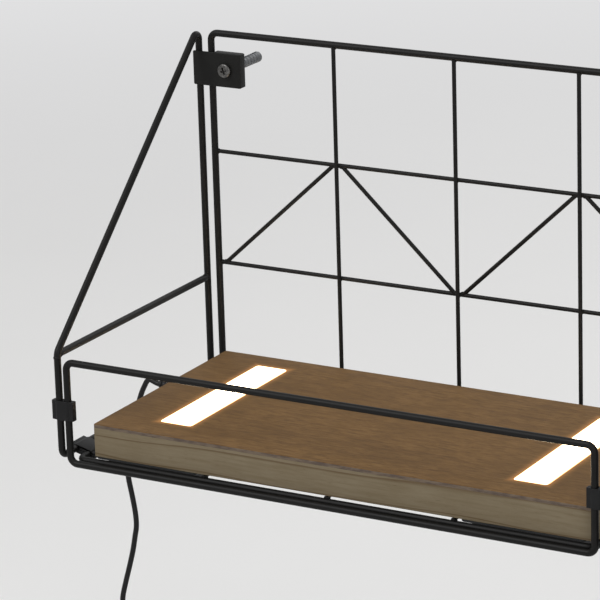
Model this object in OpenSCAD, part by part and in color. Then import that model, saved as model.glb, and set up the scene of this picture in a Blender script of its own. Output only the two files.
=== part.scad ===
// Wall lamp with a shelf. A wooden board with two light panels let into its top lies in a frame
// of black bent wire, which hangs on the wall by two clamp plates. A mains lead leaves the
// board's left end.
// Axes: X to the right along the wall, Y into the wall, Z up. The origin is on the wall, halfway
// between the two wall screws.

/* [Wire] */
// Diameter of the thick wire of the frames
thick_wire = 5; // [4:0.5:6]
// Diameter of the thin wire of the mesh
thin_wire = 3; // [2:0.5:4]
// Bend radius of the thick wire's corners, to the wire's centre
corner_bend = 5.5; // [4:0.5:8]

/* [Back panel and rack] */
// Width of the panel between the centres of its upright sides
panel_w = 394; // [380:1:398]
// Height of the screws over the fence's bottom rail
screw_h = 237; // [230:1:245]
// Height of the panel's top rail over the fence's bottom rail
panel_h = 263; // [255:1:270]
// Height of the upper level wire over the fence's bottom rail
upper_wire_h = 175; // [160:1:190]
// Height of the lower level wire over the fence's bottom rail
lower_wire_h = 91; // [80:1:100]
// Distance between the thin upright wires
upright_pitch = 95.6; // [90:0.1:98]

/* [Side frames and fence] */
// Distance between the centres of the two side frames
side_w = 414.8; // [412:0.2:418]
// Distance of the front wires from the wall
front_y = 203.5; // [195:0.5:210]
// Height over the fence's bottom rail at which the side frame's wall wire starts its top bend
side_wall_h = 257.3; // [250:0.1:259]
// Angle of the side frame's sloping wire to the horizontal
side_slope = 42.9; // [42.5:0.1:43.5]
// Height of the crossbar over the fence's bottom rail
crossbar_h = 78.4; // [76:0.1:80]
// Width of the fence between the centres of its upright sides
fence_w = 401; // [400:0.2:402]
// Height of the fence between the centres of its rails
fence_h = 73.7; // [70:0.1:76]

/* [Board] */
// How far the middle between the lights lies to the right of the rack's middle
board_x = 3.8; // [-3:0.2:4]
// Distance of the board's left end from the middle between the lights
board_left = 187.4; // [187:0.2:190]
// Distance of the board's right end from the middle between the lights
board_right = 195.2; // [188:0.2:196]
// Depth of the board from front to back
board_d = 179; // [176:1:190]
// Thickness of the board's core
core_t = 21; // [18:0.1:22]
// Thickness of the board's top layer
top_t = 2.6; // [1.5:0.1:3]

/* [Lights] */
// Distance of each light's centre from the middle between them
light_x = 136; // [130:0.1:137]
// Length of a light's diffuser, from front to back
light_l = 134; // [128:0.2:138]
// Width of a light's diffuser
light_w = 25.2; // [25:0.2:28]
// Number of LED chips on each circuit board
chip_count = 14; // [8:1:18]

/* [Fixings] */
// Distance of each wall screw from the middle
screw_x = 183.8; // [182:0.1:185]
// Height of a clamp plate
bracket_h = 25; // [22:0.5:30]
// Height of a fence clip
clip_l = 14; // [12:0.5:17]

/* [Cord] */
// Diameter of the mains lead
cord_d = 4; // [3.8:0.1:4.2]
// Length of the strain relief outside the board
relief_l = 30; // [24:1:34]
// Turns that the lead's coil has in each of its four layers
turns_per_layer = 2.5; // [2.5:1:2.5]
// Distance between turns of the coil that lie side by side
coil_pitch = 4.5; // [4.45:0.05:4.8]

/* [Hidden] */

$fn = 48;
thick_r = thick_wire / 2;
thin_r = thin_wire / 2;

// Heights, with the fence's bottom rail as the base of the frame
base_z = -screw_h;
panel_top_z = base_z + panel_h;
upper_wire_z = base_z + upper_wire_h;
lower_wire_z = base_z + lower_wire_h;
rack_z = base_z + 1.5;
side_bottom_z = base_z + 4.3;
board_bottom_z = base_z + 6.1;
core_top_z = board_bottom_z + core_t;
board_top_z = core_top_z + top_t;
upright_run_z = board_bottom_z - thin_r;

// Distances from the wall
panel_y = -thick_r;
rack_front_y = -front_y + 5.3;
board_front_y = -front_y + 4.5;
level_wire_y = -0.1 - thin_r;
side_y = panel_y - 0.1;
upright_y = level_wire_y - thin_wire + 0.7;
light_y = -107.3;

// Bends
rack_bend = 8;
peak_bend = 4;
upright_bend = 4;
weld_in = 1.2;
weld_gap = 0.4;
small_bead_r = thick_r + 0.1;
bead_r = thick_r + 0.5;

// Fixings
plate_t = 1.5;
plate_front_y = -thick_wire - 0.15 - plate_t;
bracket_outer_x = 210.4;
bracket_inner_x = 171;
lip_outer_x = 193.6;
boss_r = 5;
screw_r = 2.2;
screw_head_r = 5.25;
screw_head_h = 2.8;
screw_l = 45;
plug_r = 4;
plug_l = 40;
clip_wall = 0.55;
clip_gap = 0.3;
clip_wing = 2.1;
clip_wing_t = 6.8;
clip_fit = 0.05;
clip_z = base_z + 38.5;
lower_clip_y = -178;
lower_clip_l = 17;

// Lights and what is under them
window_gap = 0.5;
diffuser_t = 3;
diffuser_corner = 3;
tray_depth = 7;
tray_wall = 1.2;
tray_top_z = board_top_z - diffuser_t;
tray_bottom_z = tray_top_z - tray_depth;
led_board_w = 14;
led_board_l = 124;
led_board_t = 1.6;
chip_size = 3;
chip_t = 0.8;
lead_r = 1.2;
lead_y = -94;

// Covers under the board
cover_t = 1.9;
left_plate_ends = [187.2, 106];
right_plate_ends = [187.2, 96.6];
cover_front_y = board_front_y + 1;
cover_back_y = board_front_y + board_d - 3;
left_box_ends = [184, 108];
right_box_ends = [185.6, 99.6];
box_front_y = cover_front_y + 8;
box_back_y = cover_back_y - 10;
box_depth = 8.1;
box_wall = 1.6;
cover_screw_r = 1.5;
cover_screw_head_r = 2.8;
cover_screw_l = 12;
cover_screw_spots = [[-176, -193], [-114, -193], [-176, -28], [-114, -28]];

// Wiring inside the board
cord_exit = [-board_left, -64, board_bottom_z + 6.9];
entry_bore_r = 4;
spigot_l = 8;
tail_r = 1.9;
block_size = [20, 12, 9];
driver_size = [22, 84, 13];
driver_y = -122;
groove_w = 4;
groove_depth = 4.5;
groove_y = lead_y;
link_r = 1.4;
link_z = board_bottom_z + 2.4;

// The lead's route outside the board, from the strain relief's tip to the switch
relief_tip = [board_x + cord_exit.x - relief_l, cord_exit.y, cord_exit.z];
upper_route = [
    relief_tip,
    [-216.6, -64, -223.6],
    [-219.4, -64, -222.6],
    [-221.6, -64, -221.9],
    [-223.6, -64, -222.3],
    [-225.2, -64, -224],
    [-226.8, -64, -226.8],
    [-228.5, -64, -230.1],
    [-230, -64, -233.4],
    [-232, -64.2, -239],
    [-234.1, -64.6, -245.5],
    [-236, -65, -252.5],
    [-238.2, -65.5, -261.5],
    [-240.3, -67, -274],
    [-241.4, -69, -285],
    [-241.3, -70, -293],
    [-239.7, -71, -301],
    [-237.2, -72, -310],
    [-234.9, -73, -319],
    [-233.2, -74, -327.5],
    [-232.8, -74.7, -334.5],
    [-233.6, -75.5, -341],
    [-235.4, -76.8, -353],
    [-238, -78.2, -365],
    [-241.2, -79.5, -378],
    [-243.2, -80.8, -388],
    [-243.5, -81.5, -396],
    [-243.5, -81.5, -401]
];
hang_x = -243.5;
hang_y = -81.5;
switch_top_z = -401;

// Switch on the lead
switch_l = 58;
switch_w = 24;
switch_t = 16;
switch_corner = 8;
switch_wall = 1.6;
nozzle_l = 6;
nozzle_r = 3.4;
switch_centre = [hang_x, hang_y, switch_top_z - nozzle_l - switch_l / 2];
switch_bottom_z = switch_centre.z - switch_l / 2 - nozzle_l;
rocker_w = 9.6;
rocker_half_l = 9.6;
rocker_window = [10.4, 21.4];
rocker_tilt = 8;
rocker_axis_y = -4.8;
stub_r = 1.4;
stub_gap = 0.06;
stub_reach = 7;
lug = [2, 6, 4];
lug_x = 5.3;
switch_screw_z = 22;
case_screw_r = 1.25;
case_screw_head_r = 2.2;
post_r = 2.6;

// Coil of the lead's unseen length, and what hangs from it
coil_outer_r = 28.1;
coil_turns = 4 * turns_per_layer;
rings_per_turn = 24;
coil_sides = 6;
coil_centre = [hang_x + coil_outer_r, hang_y, -497];
coil_last_y = hang_y + 3 * coil_pitch;
tie_w = 8;
tie_t = 0.9;
tie_inner = [18, 14.1];
tie_mid_r = 22.25;
plug_top_z = -522;
plug_lead_top_z = coil_centre.z - cord_d;
plug_l_body = 36;
plug_w = 35.3;
plug_t = 13.7;
pin_r = 2;
pin_l = 19;
pin_in = 6;
pin_spacing = 18.6;

// ---- Lines, bends and tubes ----

function unit(v) = v / norm(v);

// Direction of a path's stretch i; a closed path comes back to its first point
function stretch(points, i) =
    let (n = len(points)) unit(points[(i + 1) % n] - points[(i + n) % n]);

function turn(u, v) = acos(max(-1, min(1, u * v)));

// How much of each stretch the bend at point i takes up
function bend_take(points, bends, closed, i) =
    closed || (i > 0 && i < len(points) - 1)
        ? bends[i] * tan(turn(stretch(points, i - 1 + len(points)), stretch(points, i)) / 2)
        : 0;

module rod(from, to, r) {
    along = to - from;
    translate(from)
        rotate([0, acos(along.z / norm(along)), atan2(along.y, along.x)])
            cylinder(h = norm(along), r = r);
}

// A quarter ring or any other bend: it starts at start, heads along u and turns towards v
module elbow(start, u, v, bend, r) {
    axis = unit(cross(u, v));
    inward = cross(axis, u);
    centre = start + inward * bend;
    multmatrix([
        [-inward.x, u.x, axis.x, centre.x],
        [-inward.y, u.y, axis.y, centre.y],
        [-inward.z, u.z, axis.z, centre.z],
        [0, 0, 0, 1]
    ])
        rotate_extrude(angle = turn(u, v))
            translate([bend, 0])
                circle(r);
}

// Wire of radius r bent along points, with one bend radius for each point
module bent_wire(points, bends, r, closed = false) {
    n = len(points);
    last = closed ? n - 1 : n - 2;
    for (i = [0:last]) {
        u = stretch(points, i);
        next = (i + 1) % n;
        rod(
            points[i] + u * bend_take(points, bends, closed, i),
            points[next] - u * bend_take(points, bends, closed, next),
            r
        );
    }
    for (i = [closed ? 0 : 1:last]) {
        u = stretch(points, i - 1 + n);
        elbow(points[i] - u * bend_take(points, bends, closed, i), u, stretch(points, i), bends[i], r);
    }
}

// Direction of a swept line at point i
function heading(line, i) =
    unit(line[min(i + 1, len(line) - 1)] - line[max(i - 1, 0)]);

// One side direction for each point, turned no more than the line itself turns
function side_dirs(line, first) = [
    for (
        i = 0, s = unit(first - (first * heading(line, 0)) * heading(line, 0));
        i < len(line);
        i = i + 1,
        s = i < len(line) ? unit(s - (s * heading(line, i)) * heading(line, i)) : s
    ) s
];

// Tube of the given number of sides round a line, closed at both ends, all triangles
module tube(line, dirs, r, sides) {
    rings = len(line);
    points = [
        for (i = [0:rings - 1], k = [0:sides - 1])
            line[i]
            + r * cos(360 * k / sides) * dirs[i]
            + r * sin(360 * k / sides) * cross(heading(line, i), dirs[i])
    ];
    walls = [
        for (i = [0:rings - 2], k = [0:sides - 1], half = [0, 1])
            let (
                a = i * sides + k,
                b = i * sides + (k + 1) % sides,
                c = a + sides,
                d = b + sides
            )
            half == 0 ? [a, c, b] : [b, c, d]
    ];
    caps = [
        for (k = [1:sides - 2], end = [0, 1])
            end == 0
                ? [0, k, k + 1]
                : [(rings - 1) * sides, (rings - 1) * sides + k + 1, (rings - 1) * sides + k]
    ];
    polyhedron(points = points, faces = concat(walls, caps), convexity = 10);
}

module cord(line) {
    tube(line, side_dirs(line, [0, 1, 0]), cord_d / 2, 8);
}

module rounded_rect(w, h, r) {
    square([w - 2 * r, h], center = true);
    square([w, h - 2 * r], center = true);
    for (sx = [-1, 1], sy = [-1, 1])
        translate([sx * (w / 2 - r), sy * (h / 2 - r)])
            circle(r);
}

// Box with round upright edges, from low corner to high corner
module round_slab(low, high, r) {
    size = high - low;
    translate([(low.x + high.x) / 2, (low.y + high.y) / 2, low.z])
        linear_extrude(size.z)
            rounded_rect(size.x, size.y, r);
}

module box(low, high) {
    translate(low)
        cube(high - low);
}

// The left-hand pieces are drawn as they are, and the right-hand ones mirrored
module on_side(right) {
    mirror([right ? 1 : 0, 0, 0])
        children();
}

// The board lies a little to the right in the rack, with all that is fixed to it
module on_board() {
    translate([board_x, 0, 0])
        children();
}

// ---- Wire frames ----

// One closed loop: up the wall, across, down again, then forward under the board and across
module panel_frame() {
    x = panel_w / 2;
    color("#1b1b1c")
        bent_wire(
            [
                [-x, panel_y, panel_top_z],
                [x, panel_y, panel_top_z],
                [x, panel_y, rack_z],
                [x, rack_front_y, rack_z],
                [-x, rack_front_y, rack_z],
                [-x, panel_y, rack_z]
            ],
            [corner_bend, corner_bend, rack_bend, corner_bend, corner_bend, rack_bend],
            thick_r,
            true
        );
}

// Thin wire down the panel and forward under the board, welded to both rails
module upright(x) {
    color("#1b1b1c")
        bent_wire(
            [
                [x, upright_y, panel_top_z - weld_in],
                [x, upright_y, upright_run_z],
                [x, rack_front_y - weld_in, upright_run_z]
            ],
            [0, upright_bend, 0],
            thin_r
        );
}

module level_wire(z) {
    x = panel_w / 2 - thick_r + weld_in;
    color("#1b1b1c")
        rod([-x, level_wire_y, z], [x, level_wire_y, z], thin_r);
}

// Four thin wires that run up and down between the level wires, one in each bay
module zigzag_braces() {
    end_gap = 3;
    bay = [-panel_w / 2 + thick_r, -upright_pitch, 0, upright_pitch, panel_w / 2 - thick_r];
    color("#1b1b1c")
        for (i = [0:3]) {
            from = [bay[i] + end_gap, level_wire_y, i % 2 == 0 ? lower_wire_z : upper_wire_z];
            to = [bay[i + 1] - end_gap, level_wire_y, i % 2 == 0 ? upper_wire_z : lower_wire_z];
            rod(from, to, thin_r);
        }
}

// Closed loop at one end. The sloping wire with its two bends is welded to the rest, which runs
// down the wall, forward under the board and up again
module side_frame() {
    x = -side_w / 2;
    run = front_y + side_y;
    peak_take = peak_bend * tan((90 + side_slope) / 2);
    bend_take = rack_bend * tan((90 - side_slope) / 2);
    wall_top_z = base_z + side_wall_h;
    bend_z = wall_top_z + peak_take - run * tan(side_slope);
    front_top_z = bend_z - bend_take;
    slope_l = run / cos(side_slope) - peak_take - bend_take;
    down = [0, cos(side_slope), -sin(side_slope)];
    color("#1b1b1c") {
        bent_wire(
            [
                [x, side_y, wall_top_z - weld_gap],
                [x, side_y, side_bottom_z],
                [x, -front_y, side_bottom_z],
                [x, -front_y, front_top_z - weld_gap]
            ],
            [0, corner_bend, corner_bend, 0],
            thick_r
        );
        translate([x, -front_y + bend_take * cos(side_slope), bend_z + bend_take * sin(side_slope)])
            rotate([side_slope - 90, 0, 0]) {
                cylinder(h = slope_l, r = thick_r);
                elbow([0, 0, 0], [0, 0, -1], down, rack_bend, thick_r);
                elbow([0, 0, slope_l], [0, 0, 1], down, peak_bend, thick_r);
            }
        translate([x, side_y, wall_top_z - weld_gap / 2])
            sphere(small_bead_r);
        translate([x, -front_y, front_top_z - weld_gap / 2])
            sphere(bead_r);
    }
}

module crossbar() {
    color("#1b1b1c")
        rod(
            [-side_w / 2, side_y - thick_r + weld_in, base_z + crossbar_h],
            [-side_w / 2, -front_y + thick_r - weld_in, base_z + crossbar_h],
            thick_r
        );
}

module front_fence() {
    x = fence_w / 2;
    color("#1b1b1c")
        bent_wire(
            [
                [-x, -front_y, base_z],
                [-x, -front_y, base_z + fence_h],
                [x, -front_y, base_z + fence_h],
                [x, -front_y, base_z]
            ],
            [corner_bend, corner_bend, corner_bend, corner_bend],
            thick_r,
            true
        );
}

// ---- Wall fixings ----

// Plate over the two wall wires; its right edge and lips stand on the wall, and a boss takes the screw
module bracket() {
    plate_w = bracket_outer_x - bracket_inner_x;
    mid_x = -(bracket_outer_x + bracket_inner_x) / 2;
    lip_t = 1.2;
    color("#161617")
        difference() {
            union() {
                translate([mid_x, plate_front_y + plate_t, 0])
                    rotate([90, 0, 0])
                        linear_extrude(plate_t)
                            rounded_rect(plate_w, bracket_h, 2);
                box(
                    [-bracket_inner_x - lip_t, plate_front_y + plate_t, -bracket_h / 2 + 2],
                    [-bracket_inner_x, 0, bracket_h / 2 - 2]
                );
                for (up = [0, 1])
                    box(
                        [-lip_outer_x, plate_front_y + plate_t, up * (bracket_h - lip_t) - bracket_h / 2],
                        [-bracket_inner_x - 2, 0, up * (bracket_h - lip_t) - bracket_h / 2 + lip_t]
                    );
                translate([-screw_x, 0, 0])
                    rotate([90, 0, 0])
                        cylinder(h = -plate_front_y - plate_t, r = boss_r);
            }
            translate([-screw_x, 1, 0])
                rotate([90, 0, 0])
                    cylinder(h = 10, r = screw_r + 0.3);
        }
}

// Pan-head cross-recess screw, its head on the plate and its shank in the wall plug
module wall_screw() {
    dome_r = (pow(screw_head_r, 2) + pow(screw_head_h, 2)) / (2 * screw_head_h);
    color("#4a4a4c")
        translate([-screw_x, plate_front_y, 0])
            rotate([90, 0, 0]) {
                difference() {
                    intersection() {
                        cylinder(h = screw_head_h, r = screw_head_r);
                        translate([0, 0, screw_head_h - dome_r])
                            sphere(dome_r, $fn = 96);
                    }
                    for (turned = [0, 90])
                        rotate(turned + 20)
                            translate([-2.6, -0.6, screw_head_h - 1.9])
                                cube([5.2, 1.2, 3]);
                }
                translate([0, 0, -screw_l])
                    cylinder(h = screw_l, r = screw_r);
            }
}

// Nylon wall plug, slit along its sides
module wall_plug() {
    slit_w = 1.2;
    color("#b9bcc0")
        translate([-screw_x, 0, 0])
            rotate([-90, 0, 0])
                difference() {
                    cylinder(h = plug_l, r = plug_r);
                    translate([0, 0, -1])
                        cylinder(h = plug_l, r = screw_r + 0.05);
                    translate([-slit_w / 2, -plug_r - 1, 9])
                        cube([slit_w, 2 * plug_r + 2, plug_l - 14]);
                }
}

// ---- Clips that hold two wires side by side ----

// Outline across the wires: a long eye round both, with a flat wing on each side
module clip_outline(spacing) {
    eye_r = thick_r + clip_fit + clip_wall;
    for (s = [-1, 1])
        translate([s * spacing / 2, 0])
            circle(eye_r);
    square([spacing, 2 * eye_r], center = true);
    rounded_rect(spacing + 2 * (eye_r + clip_wing), clip_wing_t - 1, 0.8);
}

// One of a clip's two shells, on the side of half, with a groove for each wire
module clip_shell(spacing, half, length) {
    reach = spacing + 20;
    linear_extrude(length, center = true)
        difference() {
            intersection() {
                clip_outline(spacing);
                translate([0, half * (reach + clip_gap) / 2])
                    square(reach, center = true);
            }
            for (s = [-1, 1])
                translate([s * spacing / 2, 0])
                    circle(thick_r + clip_fit);
        }
}

// Joins the side frame's front upright to the fence
module fence_clip(half) {
    spacing = (side_w - fence_w) / 2;
    color("#1e1e1f")
        translate([-(side_w + fence_w) / 4, -front_y, clip_z])
            clip_shell(spacing, half, clip_l);
}

// Joins the side frame's bottom wire to the rack
module lower_clip(half) {
    run = (side_w - panel_w) / 2;
    rise = rack_z - side_bottom_z;
    color("#1e1e1f")
        translate([-(side_w + panel_w) / 4, lower_clip_y, (side_bottom_z + rack_z) / 2])
            rotate([0, -atan2(rise, run), 0])
                rotate([90, 0, 0])
                    clip_shell(norm([run, rise]), half, lower_clip_l);
}

// ---- Board ----

module light_window(low_z, high_z, gap) {
    for (s = [-1, 1])
        translate([s * light_x, light_y, low_z])
            linear_extrude(high_z - low_z)
                rounded_rect(light_w + 2 * gap, light_l + 2 * gap, diffuser_corner + gap);
}

// Solid wood with two windows, an entry bore on the left and a groove for the link cable
module shelf_core() {
    color("#d6c19a")
        difference() {
            box(
                [-board_left, board_front_y, board_bottom_z],
                [board_right, board_front_y + board_d, core_top_z]
            );
            light_window(board_bottom_z - 1, core_top_z + 1, window_gap);
            translate(cord_exit - [1, 0, 0])
                rotate([0, 90, 0])
                    cylinder(h = board_left - light_x, r = entry_bore_r);
            box(
                [-light_x, groove_y - groove_w / 2, board_bottom_z - 1],
                [light_x, groove_y + groove_w / 2, board_bottom_z + groove_depth]
            );
            for (side = [-1, 1], spot = cover_screw_spots)
                translate([side * spot.x, spot.y, board_bottom_z - 1])
                    cylinder(h = cover_screw_l, r = cover_screw_r);
        }
}

module shelf_top() {
    color("#b98a5e")
        difference() {
            box(
                [-board_left, board_front_y, core_top_z],
                [board_right, board_front_y + board_d, board_top_z]
            );
            light_window(core_top_z - 1, board_top_z + 1, window_gap);
        }
}

// ---- Lights ----

module diffuser() {
    color("#fff6df")
        translate([-light_x, light_y, tray_top_z])
            linear_extrude(diffuser_t)
                rounded_rect(light_w, light_l, diffuser_corner);
}

// White tray that carries the diffuser on its rim; a hole in its floor takes the lead
module light_tray() {
    color("#f2f0ea")
        translate([-light_x, light_y, 0])
            difference() {
                translate([0, 0, tray_bottom_z])
                    linear_extrude(tray_depth)
                        rounded_rect(light_w, light_l, diffuser_corner);
                translate([0, 0, tray_bottom_z + tray_wall])
                    linear_extrude(tray_depth)
                        rounded_rect(light_w - 2 * tray_wall, light_l - 2 * tray_wall, diffuser_corner - tray_wall);
                translate([0, lead_y - light_y, tray_bottom_z - 1])
                    cylinder(h = tray_depth, r = lead_r + 0.8);
            }
}

module led_board() {
    color("#e8e6df")
        translate([-light_x, light_y, tray_bottom_z + tray_wall])
            linear_extrude(led_board_t)
                square([led_board_w, led_board_l], center = true);
}

module led_chips() {
    step = led_board_l / chip_count;
    color("#ffe9a8")
        for (i = [0:chip_count - 1])
            translate([
                -light_x,
                light_y - led_board_l / 2 + step * (i + 0.5),
                tray_bottom_z + tray_wall + led_board_t + chip_t / 2
            ])
                cube([chip_size, chip_size, chip_t], center = true);
}

// ---- Covers under the board ----

// Plate under a light, with a shallow box between the wires of the rack; the outer end of each comes first
module cover(plate_ends, box_ends) {
    top_z = board_bottom_z - 0.1;
    plate_bottom_z = top_z - cover_t;
    floor_z = top_z - box_depth;
    head_h = cover_screw_head_r - cover_screw_r;
    color("#1c1c1d")
        difference() {
            union() {
                round_slab(
                    [-plate_ends[0], cover_front_y, plate_bottom_z],
                    [-plate_ends[1], cover_back_y, top_z],
                    3
                );
                round_slab(
                    [-box_ends[0], box_front_y, floor_z],
                    [-box_ends[1], box_back_y, plate_bottom_z],
                    4
                );
            }
            round_slab(
                [-box_ends[0] + box_wall, box_front_y + box_wall, floor_z + box_wall],
                [-box_ends[1] - box_wall, box_back_y - box_wall, top_z + 1],
                4 - box_wall
            );
            for (spot = cover_screw_spots)
                translate([spot.x, spot.y, plate_bottom_z]) {
                    cylinder(h = head_h, r1 = cover_screw_head_r, r2 = cover_screw_r);
                    translate([0, 0, -1])
                        cylinder(h = 5, r = cover_screw_r);
                }
        }
}

module cover_screws() {
    head_h = cover_screw_head_r - cover_screw_r;
    plate_bottom_z = board_bottom_z - 0.1 - cover_t;
    color("#5a5a5c")
        for (spot = cover_screw_spots)
            translate([spot.x, spot.y, plate_bottom_z])
                difference() {
                    union() {
                        cylinder(h = head_h, r1 = cover_screw_head_r, r2 = cover_screw_r);
                        cylinder(h = cover_screw_l, r = cover_screw_r);
                    }
                    for (turned = [0, 90])
                        rotate(turned)
                            translate([-1.5, -0.35, -1])
                                cube([3, 0.7, 1.8]);
                }
}

// ---- Wiring inside the board ----

module led_driver() {
    low = [-light_x - driver_size.x / 2, driver_y - driver_size.y / 2, board_bottom_z - 6];
    color("#ececec")
        round_slab(low, low + driver_size, 2);
}

module terminal_block() {
    low = [-light_x - block_size.x / 2, cord_exit.y - block_size.y / 2, cord_exit.z - block_size.z / 2];
    hole_r = 1.6;
    color("#e3ddc8")
        difference() {
            box(low, low + block_size);
            for (s = [-1, 1])
                translate([low.x + 5, cord_exit.y + s * 3, low.z - 1])
                    cylinder(h = 6, r = hole_r);
        }
}

module supply_tail() {
    start = cord_exit + [spigot_l, 0, 0];
    end = [-light_x - block_size.x / 2, cord_exit.y, cord_exit.z];
    color("#1b1b1c")
        rod(start, end, tail_r);
}

module left_led_lead() {
    color("#b3201c")
        rod(
            [-light_x, lead_y, board_bottom_z - 6 + driver_size.z],
            [-light_x, lead_y, tray_bottom_z + tray_wall],
            lead_r
        );
}

// Runs in the groove from the driver to the other light and up through its tray's floor
module link_cable() {
    color("#1b1b1c")
        bent_wire(
            [
                [-light_x + driver_size.x / 2, groove_y, link_z],
                [light_x, groove_y, link_z],
                [light_x, groove_y, tray_bottom_z + tray_wall]
            ],
            [0, 4, 0],
            link_r
        );
}

// ---- Lead ----

// Tapered relief with a collar on the board's end and a spigot in the bore
module strain_relief() {
    collar_t = 1.6;
    color("#1b1b1c")
        translate(cord_exit)
            rotate([0, -90, 0])
                rotate_extrude()
                    polygon([
                        [0, -spigot_l],
                        [entry_bore_r - 0.05, -spigot_l],
                        [entry_bore_r - 0.05, 0],
                        [5.2, 0],
                        [5.2, collar_t],
                        [4.3, collar_t + 0.6],
                        [3.9, relief_l * 0.35],
                        [3.1, relief_l - 0.6],
                        [2.7, relief_l],
                        [0, relief_l]
                    ]);
}

module upper_cord() {
    color("#1b1b1c")
        cord(upper_route);
}

module middle_cord() {
    top = switch_bottom_z;
    bottom = coil_centre.z + cord_d;
    color("#1b1b1c")
        cord([for (i = [0:2]) [hang_x, hang_y, top + (bottom - top) * i / 2]]);
}

module plug_lead() {
    top = plug_lead_top_z;
    bottom = plug_top_z;
    color("#1b1b1c")
        cord([for (i = [0:2]) [hang_x, coil_last_y, top + (bottom - top) * i / 2]]);
}

// Turns since the coil's start, folded so that it counts up and down between the reversals
function folded(turns) =
    let (span = turns % (2 * turns_per_layer))
    min(span, 2 * turns_per_layer - span);

// Layer number: it climbs by one in the half turn round each reversal
function layer(turns) =
    let (nearest = round(turns / turns_per_layer))
    nearest < 1 || nearest > 3
        ? min(3, floor(turns / turns_per_layer))
        : nearest - 1 + max(0, min(1, 2 * (turns - nearest * turns_per_layer) + 0.5));

// The coil starts on its left, heads down and winds towards the right
function coil_point(turns) =
    let (r = coil_outer_r - coil_pitch * folded(turns), angle = 180 + 360 * turns)
    coil_centre + [r * cos(angle), coil_pitch * layer(turns), r * sin(angle)];

coil_line = concat(
    [coil_point(0) + [0, 0, cord_d]],
    [for (i = [0:coil_turns * rings_per_turn]) coil_point(i / rings_per_turn)],
    [coil_point(coil_turns) - [0, 0, cord_d]]
);
coil_gap = min([
    for (i = [0:len(coil_line) - 1], j = [i + rings_per_turn / 2:1:len(coil_line) - 1])
        norm(coil_line[i] - coil_line[j])
]) - cord_d;
echo(least_gap_between_the_coils_turns = coil_gap);

module cord_coil() {
    color("#1b1b1c")
        tube(coil_line, side_dirs(coil_line, [0, 1, 0]), cord_d / 2, coil_sides);
}

// Strap round the top of the coil
module coil_tie() {
    mid_y = (hang_y + coil_last_y) / 2;
    color("#2a2a2c")
        translate([coil_centre.x - tie_w / 2, mid_y, coil_centre.z + tie_mid_r])
            rotate([90, 0, 90])
                linear_extrude(tie_w)
                    difference() {
                        rounded_rect(tie_inner.x + 2 * tie_t, tie_inner.y + 2 * tie_t, 2.4);
                        rounded_rect(tie_inner.x, tie_inner.y, 1.5);
                    }
}

// ---- Switch on the lead ----

// Half of the case: half is -1 in front and 1 behind
module switch_shell(half) {
    inner_corner = switch_corner - switch_wall;
    difference() {
        union() {
            rotate([half * -90, 0, 0])
                linear_extrude(switch_t / 2)
                    rounded_rect(switch_w, switch_l, switch_corner);
            intersection() {
                translate([0, 0, -switch_l / 2 - nozzle_l])
                    cylinder(h = switch_l + 2 * nozzle_l, r = nozzle_r);
                translate([0, half * 5, 0])
                    cube([20, 10, switch_l + 4 * nozzle_l], center = true);
            }
        }
        rotate([half * -90, 0, 0])
            translate([0, 0, -1])
                linear_extrude(switch_t / 2 - switch_wall + 1)
                    rounded_rect(switch_w - 2 * switch_wall, switch_l - 2 * switch_wall, inner_corner);
    }
}

module switch_front_shell() {
    color("#1d1d1e")
        translate(switch_centre)
            difference() {
                union() {
                    difference() {
                        switch_shell(-1);
                        translate([0, -switch_t / 2, 0])
                            cube([rocker_window.x, 4, rocker_window.y], center = true);
                    }
                    for (s = [-1, 1]) {
                        translate([s * (lug_x + lug.x / 2), -switch_t / 2 + switch_wall + lug.z / 2, 0])
                            cube([lug.x, lug.z, lug.y], center = true);
                        translate([0, 0, s * switch_screw_z])
                            rotate([90, 0, 0])
                                cylinder(h = switch_t / 2 - 0.5, r = post_r);
                    }
                }
                for (s = [-1, 1])
                    translate([0, 1, s * switch_screw_z])
                        rotate([90, 0, 0])
                            cylinder(h = 6, r = case_screw_r);
                translate([0, rocker_axis_y, 0])
                    rotate([0, 90, 0])
                        cylinder(h = 2 * (lug_x + lug.x) + 1, r = stub_r + stub_gap, center = true);
            }
}

module switch_back_shell() {
    color("#1d1d1e")
        translate(switch_centre)
            difference() {
                union() {
                    switch_shell(1);
                    for (s = [-1, 1])
                        translate([0, 0, s * switch_screw_z])
                            rotate([-90, 0, 0])
                                cylinder(h = switch_t / 2 - 0.5, r = post_r);
                }
                for (s = [-1, 1])
                    translate([0, -1, s * switch_screw_z])
                        rotate([-90, 0, 0]) {
                            cylinder(h = switch_t, r = case_screw_r + 0.05);
                            translate([0, 0, switch_t / 2 - 0.5])
                                cylinder(h = 5, r = case_screw_head_r + 0.2);
                        }
            }
}

// Drawn pressed to ON: the lower half stands proud
module switch_rocker() {
    color("#29292b")
        translate(switch_centre + [0, rocker_axis_y, 0])
            rotate([-rocker_tilt, 0, 0]) {
                rotate([90, 0, 90])
                    linear_extrude(rocker_w, center = true)
                        polygon([
                            [3, -3],
                            [-1, -rocker_half_l],
                            [-4.6, -rocker_half_l],
                            [-4.2, -5],
                            [-3.9, 0],
                            [-4.2, 5],
                            [-4.6, rocker_half_l],
                            [-1, rocker_half_l],
                            [3, 3]
                        ]);
                rotate([0, 90, 0])
                    cylinder(h = 2 * stub_reach, r = stub_r, center = true);
            }
}

// Two brass strips on the back shell's floor, each with a raised contact
module switch_contacts() {
    floor_y = switch_t / 2 - switch_wall;
    strip_t = 0.8;
    color("#c9a24a")
        translate(switch_centre)
            for (s = [-1, 1]) {
                box([s * 6.5 - 1.5, floor_y - strip_t, -17], [s * 6.5 + 1.5, floor_y, 17]);
                box([s * 6.5 - 1.5, floor_y - 3, -2], [s * 6.5 + 1.5, floor_y - strip_t, 2]);
            }
}

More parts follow.
